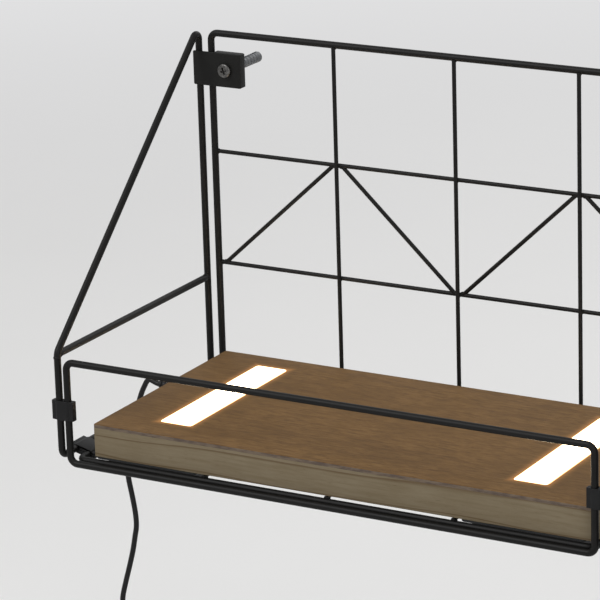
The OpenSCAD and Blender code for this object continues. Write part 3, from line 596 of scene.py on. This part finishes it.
def arc(x, radius, start, end, count, y=0.0):
    """Points on an arc round (x, y), from one angle to another in degrees."""
    a = np.radians(np.linspace(start, end, count))
    return np.column_stack([x + radius * np.cos(a), y + radius * np.sin(a)])


def clip_half(spacing, side, length):
    """Half of a clip's outline, round the eye and wings outside and the two wire grooves inside, carried
    along its length with quarter-circle edges."""
    eye, groove, gap, wing, soft, edge = 3.1, 2.55, 0.15, 2.3, 0.6, 0.35
    half, reach = spacing / 2, spacing / 2 + 5.2
    at_gap, at_wing = np.degrees(np.arcsin(gap / groove)), np.degrees(np.arcsin(wing / eye))
    points = np.concatenate(
        [
            [[reach, gap]],
            arc(reach - soft, soft, 0, 90, 5, wing - soft),
            arc(half, eye, at_wing, 90, 6),
            arc(-half, eye, 90, 180 - at_wing, 6),
            arc(soft - reach, soft, 90, 180, 5, wing - soft),
            [[-reach, gap]],
            arc(-half, groove, 180 - at_gap, at_gap, 14),
            arc(half, groove, 180 - at_gap, at_gap, 14),
        ]
    )
    along = np.roll(points, -1, 0) - np.roll(points, 1, 0)
    inward = unit(np.column_stack([-along[:, 1], along[:, 0]]))
    inset, drop = quarter_circle(edge, 4)
    insets = np.concatenate([inset, inset[::-1]])
    heights = np.concatenate([drop - length / 2, (length / 2 - drop)[::-1]])
    return loft([lifted((points + inward * i) * [1, side], height) for i, height in zip(insets, heights)])


fence_spacing, fence_clip = side_x - fence_x, (-(side_x + fence_x) / 2, front_y, base + 38.5)
low_run, low_rise = side_x - panel_x, side_low - rack_z
low_spacing = np.hypot(low_run, low_rise)
low_across = np.array([low_run, 0, -low_rise]) / low_spacing
low_up = np.array([low_rise, 0, low_run]) / low_spacing
low_clip = (-(side_x + panel_x) / 2, -178, (side_low + rack_z) / 2)
for name, half in (("front", -1), ("back", 1)):
    shell = onto([clip_half(fence_spacing, half, 14)], np.eye(3), fence_clip)
    make_pair("fence_clip_" + name, shell, clip_nylon, "clip_" + name)
for name, half in (("upper", 1), ("lower", -1)):
    shell = onto([clip_half(low_spacing, half, 17)], [low_across, low_up, (0, -1, 0)], low_clip)
    make_pair("rack_clip_" + name, shell, clip_nylon, "lower_clip_" + name)


# ---- Board ----
# The core is glued from softwood staves, 21 mm thick, and a 2.6 mm sliced veneer panel is glued on
# top. Both are planed, and the edges are broken by hand with fine paper and oiled.
def holed_face(outer, holes, height):
    """Flat face between an outline and its holes, cut into triangles."""
    loops = [outer] + holes
    triangles = tessellate_polygon([[Vector((*p, 0)) for p in loop] for loop in loops])
    return lifted(np.concatenate(loops), height), [list(t) for t in triangles]


def band(rings):
    """Open wall through rings of equal count, without caps."""
    rings = np.array(rings)
    return rings.reshape(-1, 3), grid_faces(*rings.shape[:2])


def wall(loop, low, high):
    """Open upright wall on a loop between two heights."""
    return band([lifted(loop, low), lifted(loop, high)])


def welded(name, parts, material, replaces):
    """Parts that share their border points, welded along them into one closed piece."""
    points, faces = joined(parts)
    _, first, index = np.unique(np.round(points, 4), axis=0, return_index=True, return_inverse=True)
    index = index.reshape(-1)
    merged = [[int(index[i]) for i in face] for face in faces]
    merged = [face for face in merged if len(set(face)) == len(face)]
    return make_piece(name, [(points[first], merged)], material, replaces)


board_x, board_left, board_right = 3.8, 187.4, 195.2
board_l, board_d, board_ease = board_left + board_right, 179.0, 0.5
board_mid = ((board_right - board_left) / 2, -109.5)
board_low, core_high, board_high = base + 6.1, base + 27.1, base + 29.7
window_at, window_size = (136.0, -107.3), (26.2, 135.0)


def from_window(tree):
    """Distance in metres outwards from the nearer opening's edge: max(||x - X| - Xw| - w, |y - Y| - h)."""
    place = add(tree, "SeparateXYZ", {0: on_object(tree)}).outputs
    apart = lambda value, middle: maths(tree, "ABSOLUTE", maths(tree, "SUBTRACT", value, middle / 1000))
    x = maths(tree, "SUBTRACT", apart(apart(place["X"], board_x), window_at[0]), window_size[0] / 2000)
    y = maths(tree, "SUBTRACT", apart(place["Y"], window_at[1]), window_size[1] / 2000)
    return maths(tree, "MAXIMUM", x, y)


def mixed(tree, share, first, second):
    """Colour between two, by a share from 0 to 1."""
    return add(tree, "Mix", {0: share, 6: first, 7: second}, data_type="RGBA").outputs[2]


def wood(name, fleck, pale, middle, dark, line, ring, swing, starts, lines, rough, shaded_cut_edge=None):
    """Planed wood whose grain runs along x: stretched noise gives the fibres, each about fleck mm long, and
    short dark dashes the pores, 0.35 mm wide, twice the real. Broad soft clouds darken it a little. The year
    rings are a wandering band pattern, ring of them to the metre, each with a line from starts to its end."""
    material, tree, out = new_material(name)
    place = on_object(tree)
    stretched = lambda *scale: add(tree, "Mapping", {"Vector": place, "Scale": scale}).outputs[0]
    fibre = noise(tree, stretched(1000 / fleck, 620.0, 620.0), 1.0, 3.0, 0.6)
    wander = noise(tree, stretched(3.0, 28.0, 28.0), 1.0, 2.0)
    across = add(tree, "SeparateXYZ", {0: place}).outputs
    slanted = maths(tree, "MULTIPLY_ADD", across["Y"], 0.35, across["Z"])
    phase = maths(tree, "MULTIPLY_ADD", wander, swing, slanted)
    ringed = maths(tree, "FRACT", maths(tree, "MULTIPLY", phase, ring))
    late = fade(tree, ringed, starts, 0.97, kind="SMOOTHSTEP")
    summer = maths(tree, "MULTIPLY", late, fade(tree, ringed, 0.97, 1.0, 1.0, 0.0))
    fibred = ramp(tree, fibre, (0.33, dark), (0.5, middle), (0.67, pale))
    shade = fade(tree, noise(tree, place, 32.0, 2.0), 0.4, 0.7, high=0.5)
    body = mixed(tree, shade, fibred, srgb(dark))
    grained = mixed(tree, maths(tree, "MULTIPLY", summer, lines), body, srgb(line))
    dash = fade(tree, noise(tree, stretched(160.0, 2800.0, 2800.0), 1.0, 1.0), 0.66, 0.74)
    colour, more = mixed(tree, maths(tree, "MULTIPLY", dash, 0.35), grained, srgb(line)), {}
    if shaded_cut_edge:
        # The edge shows cut fibres with a little glue between them, and is greyer than the face: partly the
        # cut edge's own grey and partly painted shade, given to every face that does not lie flat
        facing = add(tree, "SeparateXYZ", {0: add(tree, "NewGeometry").outputs["Normal"]}).outputs["Z"]
        cut = ramp(tree, fibre, (0.38, shaded_cut_edge[0]), (0.62, shaded_cut_edge[1]))
        colour = mixed(tree, fade(tree, maths(tree, "ABSOLUTE", facing), 0.9, 0.4), colour, cut)
        # Painted glow: the wood within a few millimetres of the openings gives off warm light of its own,
        # standing in for the lamps' light soaking into the thin wood there
        glow = maths(tree, "POWER", fade(tree, from_window(tree), 0.007, 0.0), 2.5)
        more = {"Emission Color": srgb("#c9894c"), "Emission Strength": fade(tree, glow, 0, 1, high=0.45)}
    relief = maths(tree, "SUBTRACT", fibre, dash)
    bump = add(tree, "Bump", {"Height": relief, "Strength": 0.35, "Distance": 0.0001})
    more.update(IOR=1.45, Specular_IOR_Level=0.16)
    sheen = fade(tree, fibre, 0, 1, rough - 0.06, rough + 0.08)
    return cast_surface(material, tree, out, colour, sheen, bump, **more)


core_tints, core_rings = ("#776c58", "#736854", "#6d614c", "#4b361f"), (60.0, 0.03, 0.88, 0.6)
softwood = wood("oiled_softwood_core", 26, *core_tints, *core_rings, rough=0.65)
face_tints, face_rings = ("#7b5d37", "#6f522d", "#5e4422", "#4a3218"), (150.0, 0.05, 0.6, 0.25)
# The edge's two colours hold painted shade as well as the cut edge's own grey
veneer = wood("oiled_beech_veneer", 8, *face_tints, *face_rings, rough=0.6, shaded_cut_edge=("#51463f", "#685b4e"))


def board_outline(inset):
    """The board's outline from above, moved in."""
    return outline(board_l, board_d, 1.4, inset) + board_mid


def lying(shells):
    """Shells of the board and what is fixed to it, which lie board_x to the right of the rack's middle."""
    return [(points + [board_x, 0, 0], faces) for points, faces in shells]


def window(side):
    """The outline of a light's opening, on the side given by -1 or 1."""
    return outline(*window_size, 3.5) + (side * window_at[0], window_at[1])


left_window, right_window = window(-1), window(1)
groove_in = window_at[0] - window_size[0] / 2
groove_low, groove_high, groove_top = -96.0, -92.0, board_low + 4.5
# Each opening's outline runs anticlockwise and has the groove's two edges as points of its own. The
# openings and the groove between them make one outline in the underside.
left_loop = np.concatenate([left_window, [[-groove_in, groove_low], [-groove_in, groove_high]]])
right_edges = [[groove_in, groove_high], [groove_in, groove_low]]
right_loop = np.concatenate([np.roll(right_window, -14, 0), right_edges])
lower_hole = np.concatenate([left_loop[:-1], right_loop[-1:], right_loop[:-1], left_loop[-1:]])
ease, rise = quarter_circle(board_ease, 4)
groove_roof = [(-groove_in, groove_low), (groove_in, groove_low)]
groove_roof += [(groove_in, groove_high), (-groove_in, groove_high)]
eased_side = [lifted(board_outline(inset), board_low + up) for inset, up in zip(ease, rise)]
core_parts = [
    band(eased_side + [lifted(board_outline(0), core_high)]),
    holed_face(board_outline(board_ease), [lower_hole], board_low),
    wall(lower_hole, board_low, groove_top),
    (lifted(groove_roof, groove_top), [[0, 1, 2, 3]]),
    wall(left_loop, groove_top, core_high),
    wall(right_loop, groove_top, core_high),
    holed_face(board_outline(0), [left_loop, right_loop], core_high),
]
welded("stave_core", lying(core_parts), softwood, "shelf_core")
eased_side = [lifted(board_outline(inset), board_high - up) for inset, up in zip(ease[::-1], rise[::-1])]
top_parts = [
    band([lifted(board_outline(0), core_high)] + eased_side),
    holed_face(board_outline(0), [left_window, right_window], core_high),
    wall(left_window, core_high, board_high),
    wall(right_window, core_high, board_high),
    holed_face(board_outline(board_ease), [left_window, right_window], board_high),
]
welded("veneer_top", lying(top_parts), veneer, "shelf_top")


# ---- Lights ----
# Opal acrylic strips, cast and cut to size with rounded corners, that lie flush in the board over
# warm white diodes. The edge glows warmer than the middle, where the sheet is brightest.
opal, tree, out = new_material("glowing_opal_acrylic")
glow = fade(tree, from_window(tree), -0.0006, -0.0035)
tint = ramp(tree, glow, (0.0, "#f6b26a"), (0.45, "#ffd9a6"), (1.0, "#ffe6c2"))
power = fade(tree, glow, 0, 1, 2.0, 12.0)
shining = {"Emission Color": tint, "Emission Strength": power}
cast_surface(opal, tree, out, srgb("#f3e9d6"), 0.35, IOR=1.49, **shining)
for side, sign in (("left", -1), ("right", 1)):
    strip = slab(25.2, 134, 3, board_high - 3, board_high, 0.35, (sign * window_at[0], window_at[1]), 8)
    make_piece(side + "_opal_strip", lying([strip]), opal, side + "_diffuser")


# ---- Covers ----
# Vacuum-formed black polystyrene pans with a flat rim, screwed under the board over the lights'
# undersides. Four countersunk screws hold each, their heads flush in the rim.
styrene = moulded("black_polystyrene_sheet", "#161617", "#1e1e1f", 0.0007, 0.42)
rim_top, rim_low, pan_low = base + 6.0, base + 4.1, base - 2.1


def stacked(steps, *stretches):
    """Rings of rounded rectangles. Each stretch has a size (width, length, corner radius), a middle, and the
    inset and height of each of its rings."""
    rings = [(size, at, *ring) for size, at, profile in stretches for ring in profile]
    return [lifted(outline(*size, inset, steps) + at, height) for size, at, inset, height in rings]


def pan(rim_ends, box_ends):
    """Closed shell between those ends, each given by its distances from the board's middle: the pan's inside
    floor and wall, over the rim, round its edge, in to the box below, down its wall and round its bottom."""
    rim_l, box_l = rim_ends[0] - rim_ends[1], box_ends[0] - box_ends[1]
    rim_at, box_at = (-sum(rim_ends) / 2, -110.5), (-sum(box_ends) / 2, -111.5)
    inside = [(3.0, 1.6), (0.8, 1.6), (0.25, 1.85), (0.0, 2.4)]
    inside = [(inset, pan_low + up) for inset, up in inside] + [(0.0, rim_top - 0.3), (-0.3, rim_top)]
    rim = [(0.7, rim_top), (0.3, rim_top), (0.0, rim_top - 0.3)]
    rim += [(0.0, rim_low + 0.4), (0.4, rim_low), (0.8, rim_low)]
    box = [(-0.8, rim_low), (-0.25, rim_low - 0.15), (0.0, rim_low - 0.6), (0.0, pan_low + 1.2)]
    up, inset = quarter_circle(1.2, 5)
    box += [*zip(inset, pan_low + up), (1.7, pan_low)]
    inner, outer = (box_l - 3.2, 153.8, 2.4), (box_l, 157, 4)
    return loft(stacked(7, (inner, box_at, inside), ((rim_l, 175, 3), rim_at, rim), (outer, box_at, box)))


def flush_head(radius, recess):
    """Countersunk screw seen from its head: a flat disc with a cross-shaped hollow, a cone, then a shank."""
    a = full_turn(64)
    circle = lambda r, z: np.column_stack([r * np.cos(a), r * np.sin(a), np.full(64, z)])
    head = np.array([circle(r * radius, 0.0) for r in np.linspace(0.02, 1, 14)])
    head[..., 2] = -0.8 * cross_recess(head[..., 0], head[..., 1], recess, 1.2, 0.24, 0.3)
    return loft([*head, circle(1.55, -1.3), circle(1.5, -11.0), circle(0.3, -12.0)])


facing_down = [(1, 0, 0), (0, -1, 0), (0, 0, -1)]
cover_heads = [(x, y) for x in (-176, -114) for y in (-193, -28)]
cover_ends = (("left", (187.2, 106), (184, 108)), ("right", (187.2, 96.6), (185.6, 99.6)))
for side, rim_ends, box_ends in cover_ends:
    cover = lying(on_side(side, [pan(rim_ends, box_ends)]))
    make_piece(side + "_formed_pan", cover, styrene, side + "_cover")
    heads = [onto([flush_head(2.8, 1.5)], facing_down, (x, y, rim_low - 0.04))[0] for x, y in cover_heads]
    screws = lying(on_side(side, heads))
    make_piece(side + "_rim_screws", screws, screw_zinc, side + "_cover_screws")


# ---- Wiring in the board ----
# Pressed white trays with the diodes' boards, a potted driver, a terminal block and short leads lie
# inside the board. They keep the forms of the solids, and get the finish of the real parts.
def finish_nodes(material, *nodes):
    """Gives CAD nodes a finish in place of their plain one."""
    for node in nodes:
        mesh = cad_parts[node].data
        mesh.materials.clear()
        mesh.materials.append(material)


for name, dark, light, grain, rough, nodes in (
    ("white_polycarbonate", "#dcdad4", "#e8e6e0", 0.0006, 0.45, ("left_light_tray", "right_light_tray")),
    ("white_solder_mask", "#d5d3cc", "#dedcd6", 0.0009, 0.35, ("left_led_board", "right_led_board")),
    ("yellow_phosphor_resin", "#c9a63e", "#d9b851", 0.0008, 0.3, ("left_led_chips", "right_led_chips")),
    ("white_abs_housing", "#cfcfcc", "#dadad7", 0.0006, 0.5, ("led_driver",)),
    ("cream_polyamide", "#c9c0a0", "#d6ceb0", 0.0006, 0.5, ("terminal_block",)),
    ("red_vinyl_sleeve", "#8d1c18", "#a32420", 0.0008, 0.4, ("left_led_lead",)),
    ("black_vinyl_cable", "#171718", "#1f1f20", 0.0008, 0.42, ("supply_tail", "link_cable")),
):
    finish_nodes(moulded(name, dark, light, grain, rough), *nodes)


# ---- Switch on the lead ----
# A rocker switch in a small case of two black ABS shells, screwed from behind. The lead runs in
# through a ribbed nozzle at each end, and the rocker lies in a window in front.
abs_black = moulded("black_abs_case", "#161617", "#1c1c1d", 0.0006, 0.4)
abs_gloss = moulded("glossy_black_abs_rocker", "#1f1f20", "#262627", 0.0012, 0.22, 0.00002)
hang_x, hang_y, case_z = -243.5, -81.5, -436.0


def case_shell():
    """Rings of half the case: from the window's inner edge, over the face, round the edge, down to the
    parting line, and back up inside. The face's outline swells from the window's to the case's."""
    window_form, case_form, at = (10.4, 21.4, 1.0), (24, 58, 8), (0, 0)
    window_edge = [(0.0, 5.2), (0.0, 7.6), (-0.12, 7.85), (-0.4, 8.0)]
    inset, drop = quarter_circle(2.2, 7)
    side = [*zip(inset, 8 - drop), (0.0, 0.45), (0.3, 0.15), (0.3, 0.02), (1.6, 0.02), (1.6, 5.6), (2.6, 6.4)]
    inside = [(-0.6, 6.4), (-0.6, 5.2)]
    return stacked(8, (window_form, at, window_edge), (case_form, at, side), (window_form, at, inside))


front_rings = case_shell()
nozzle = [(2.0, 0.0), (3.4, 0.0), (3.4, 1.2), (2.9, 1.5), (2.9, 2.1), (3.3, 2.4), (3.3, 3.1), (2.8, 3.4)]
nozzle += [(2.8, 4.0), (3.1, 4.3), (3.1, 5.2), (2.7, 5.9), (2.0, 6.0)]
nozzles = onto([lathe(nozzle, 32)], np.eye(3), (hang_x, hang_y, case_z + 29))
nozzles += onto([lathe(nozzle, 32)], facing_down, (hang_x, hang_y, case_z - 29))
facing_back = [(-1, 0, 0), (0, 0, 1), (0, 1, 0)]
centre = (hang_x, hang_y, case_z)
front_shells = onto([loft(front_rings, wrap_rows=True)], facing_front, centre) + nozzles
front_case = make_piece("switch_front_case", front_shells, abs_black, "switch_front_shell")
# The back shell is the same without the window's edge: its face is closed
back_shells = onto([loft(front_rings[3:-1])], facing_back, centre)
back_case = make_piece("switch_back_case", back_shells, abs_black, "switch_back_shell")

face_y, face_hollow, face_end = -3.9, 0.68, 9.1


def rocker_form():
    """Rocker: a slightly hollow face across whose width the profile is carried, with rounded side edges."""
    profile = [(3, -3), (0.9, -6.2), (-1, -9.4), (-1.3, -9.6), (-4.2, -9.6), (-4.55, -9.45), (-4.6, -9.1)]
    z = np.linspace(-8.4, 8.4, 22)
    face = np.column_stack([face_y - face_hollow * (np.abs(z) / face_end) ** 1.5, z])
    points = np.concatenate([profile, face, np.multiply(profile, [1, -1])[::-1]])
    to_middle = unit(np.array([-0.8, 0.0]) - points)
    inset, drop = quarter_circle(0.45, 5)
    insets = np.concatenate([inset, inset[::-1]])
    x = np.concatenate([drop - 4.8, (4.8 - drop)[::-1]])
    return loft([np.roll(lifted(points + to_middle * i, across), 1, 1) for i, across in zip(insets, x)])


tilt = np.radians(-8)
rocker_turn = [(1, 0, 0), (0, np.cos(tilt), np.sin(tilt)), (0, -np.sin(tilt), np.cos(tilt))]
facing_side = [(0, 1, 0), (0, 0, 1), (1, 0, 0)]
stub = onto([lathe([(1.15, -7), (1.4, -6.75), (1.4, 6.75), (1.15, 7)], 28)], facing_side)
mark_z, ring_r = 6.2, 1.3
mark_y = face_y - face_hollow * (mark_z / face_end) ** 1.5
marks = onto([slab(0.6, 3.0, 0.3, 0, 0.16, 0.06)], facing_front, (0, mark_y, mark_z))
a = full_turn(32)
mark_ring = np.column_stack([ring_r * np.cos(a), np.full(32, mark_y), ring_r * np.sin(a) - mark_z])
marks.append(sweep(mark_ring, 0.28, 8, closed=True))
rocker_at = (hang_x, hang_y - 4.8, case_z)
key = onto([rocker_form()] + stub, rocker_turn, rocker_at)
rocker = make_piece("rocker_key", key, abs_gloss, "switch_rocker", body="rocker")
mark_paint = moulded("white_printed_mark", "#cfcfcf", "#d8d8d8", 0.001, 0.5)
key_marks = onto(marks, rocker_turn, rocker_at)
rocker_marks = make_piece("rocker_marks", key_marks, mark_paint, (), body="rocker")
brass = zinc("rolled_brass_strip", "#b08b3c", "#c7a14c", 0.3)
finish_nodes(brass, "switch_contacts")
finish_nodes(screw_zinc, "switch_screws")


# ---- Mains lead ----
# Round two-core flex, 4 mm thick, in a black vinyl sheath that comes extruded by the metre. It hangs
# from its relief, and the length left over is wound up and strapped.
sheath = moulded("black_vinyl_sheath", "#0d0d0e", "#141415", 0.0009, 0.42, 0.00006, Specular_IOR_Level=0.22)
hanging = smooth_path(
    [
        (-196, -64, -224), (-205, -64, -224), (-213.6, -64, -224), (-216.6, -64, -223.6),
        (-219.4, -64, -222.6), (-221.6, -64, -221.9), (-223.6, -64, -222.3), (-225.2, -64, -224),
        (-226.8, -64, -226.8), (-228.5, -64, -230.1), (-230, -64, -233.4), (-232, -64.2, -239),
        (-234.1, -64.6, -245.5), (-236, -65, -252.5), (-238.2, -65.5, -261.5), (-240.3, -67, -274),
        (-241.4, -69, -285), (-241.3, -70, -293), (-239.7, -71, -301), (-237.2, -72, -310),
        (-234.9, -73, -319), (-233.2, -74, -327.5), (-232.8, -74.7, -334.5), (-233.6, -75.5, -341),
        (-235.4, -76.8, -353), (-238, -78.2, -365), (-241.2, -79.5, -378), (-243.2, -80.8, -388),
        (-243.5, -81.5, -396), (-243.5, -81.5, -401),
    ]
)
# The coil: four layers of two and a half turns, wound inwards and outwards by turns, 4.5 mm apart
coil_x, coil_z, coil_r, cord_pitch = -215.4, -497, 28.1, 4.5
t = np.linspace(0, 10, 561)
folded = np.minimum(t % 5, 5 - t % 5)
nearest = np.round(t / 2.5)
climbing = nearest - 1 + np.clip(2 * (t - nearest * 2.5) + 0.5, 0, 1)
layer = np.where((nearest < 1) | (nearest > 3), np.minimum(3, np.floor(t / 2.5)), climbing)
winding = np.radians(180 + 360 * t)
wound_r = coil_r - cord_pitch * folded
wound = np.column_stack(
    [coil_x + wound_r * np.cos(winding), hang_y + cord_pitch * layer, coil_z + wound_r * np.sin(winding)]
)
last_y = hang_y + 3 * cord_pitch
down = lambda y, high, low, count: np.linspace((hang_x, y, high), (hang_x, y, low), count)
lead_line = np.concatenate([hanging, down(hang_y, -403, -493, 20), wound, down(last_y, -501, -524, 10)])
stretches = lambda line: np.linalg.norm(np.diff(line, axis=0), axis=1)
lead_line = lead_line[np.concatenate([[True], stretches(lead_line) > 1e-6])]
flex_nodes = ("upper_cord", "middle_cord", "cord_coil", "plug_lead")
flex = make_piece("mains_flex", [sweep(lead_line, 2.0, 16)], sheath, flex_nodes)
relief_rings = [(3.95, -8.0), (3.95, 0.0), (4.9, 0.0), (5.2, 0.3), (5.2, 1.3), (4.9, 1.6), (4.3, 2.0)]
z = np.linspace(2.6, 29.4, 68)
barrel = np.interp(z, [2.2, 10.5, 29.4], [4.3, 3.9, 3.05])
ribbed = barrel - 0.55 * (np.clip(np.sin(2 * np.pi * (z - 5) / 3.6), 0.15, 1) - 0.15) * ((z > 5) & (z < 27.5))
relief_rings += [*zip(ribbed, z)] + [(2.85, 29.8), (2.4, 30.0)]
along_lead = [(0, 1, 0), (0, 0, 1), (-1, 0, 0)]
relief_at = (board_x - board_left, -64, -224)
relief_shells = onto([lathe(relief_rings, 40)], along_lead, relief_at)
relief = make_piece("ribbed_relief", relief_shells, sheath, "strain_relief")

# The strap is a strip of black hook-and-loop tape, 8 mm wide, round the top of the coil.
tape = moulded("black_woven_tape", "#1d1d1f", "#262628", 0.0007, 0.8, 0.0002)


def strap():
    """Rounded rectangle carried round as a flat band: inner and outer outlines, with softened edges."""
    inner, outer = outline(18, 14.1, 1.5, 0, 8), outline(19.8, 15.9, 2.4, 0, 8)
    blend = lambda share: inner + share * (outer - inner)
    rows = [(0, -3.7), (0.2, -4), (0.8, -4), (1, -3.7), (1, 3.7), (0.8, 4), (0.2, 4), (0, 3.7)]
    return loft([lifted(blend(share), height) for share, height in rows], wrap_rows=True)


strap_shells = onto([strap()], facing_side, (coil_x, -74.75, -474.75))
strap_piece = make_piece("coil_strap", strap_shells, tape, "coil_tie")


# ---- Mains plug ----
# Flat two-pin plug in black thermoplastic rubber, moulded straight onto the lead, with a ribbed neck and
# a waist to grip. The pins are nickel-plated brass with rounded ends.
rubber = moulded("black_moulded_rubber", "#151516", "#1c1c1d", 0.0006, 0.46)
nickel = zinc("nickel_plated_brass", "#a8a59f", "#c4c1ba", 0.22)


def plug_form():
    """Rounded rectangles along the plug: half width and half thickness read off two smooth curves of the
    height, corners 90 % of the half thickness, ends rounded over."""
    z = np.concatenate([[0.0, 0.15, 0.5, 1.0], np.linspace(1.6, 34.2, 50), [34.8, 35.4, 35.8, 36.0]])
    width = np.interp(z, [0, 8, 11, 14, 18, 22, 25, 36], [5, 6.0, 7.6, 9.9, 13.0, 15.7, 17.3, 17.6])
    thickness = np.interp(z, [0, 12, 16, 24, 36], [4.2, 5.0, 5.7, 6.75, 6.8])
    soft = lambda values: np.convolve(np.pad(values, 2, mode="edge"), np.ones(5) / 5, "valid")
    width, thickness = soft(width), soft(thickness)
    wave = lambda start, pitch: 0.5 + 0.5 * np.sin(2 * np.pi * (z - start) / pitch)
    neck = 0.35 * wave(1.6, 2.4) * ((z > 1.6) & (z < 9.0))
    grip = 0.4 * wave(22, 2.0) * ((z > 22) & (z < 31))
    from_end = np.clip(1 - np.minimum(z, 36 - z) / 1.2, 0, 1)
    rounding = 1.2 * (1 - np.sqrt(1 - from_end**2))
    half_w, half_h = width - neck - grip - rounding, thickness - neck - rounding
    rings = zip(half_w, half_h, z)
    return loft([lifted(outline(2 * w, 2 * h, 0.9 * h, 0, 7), height) for w, h, height in rings])


plug_shells = onto([plug_form()], facing_down, (hang_x, last_y, -522))
plug = make_piece("plug_grip", plug_shells, rubber, "plug_body")
pin_profile = [(2, -6), (2, 17.2), (1.9, 18.0), (1.6, 18.6), (1.0, 18.95), (0.3, 19)]
pin = lathe(pin_profile, 32)
pin_shells = [onto([pin], facing_down, (hang_x + s * 9.3, last_y, -558))[0] for s in (-1, 1)]
pins = make_piece("plug_contacts", pin_shells, nickel, "plug_pins")
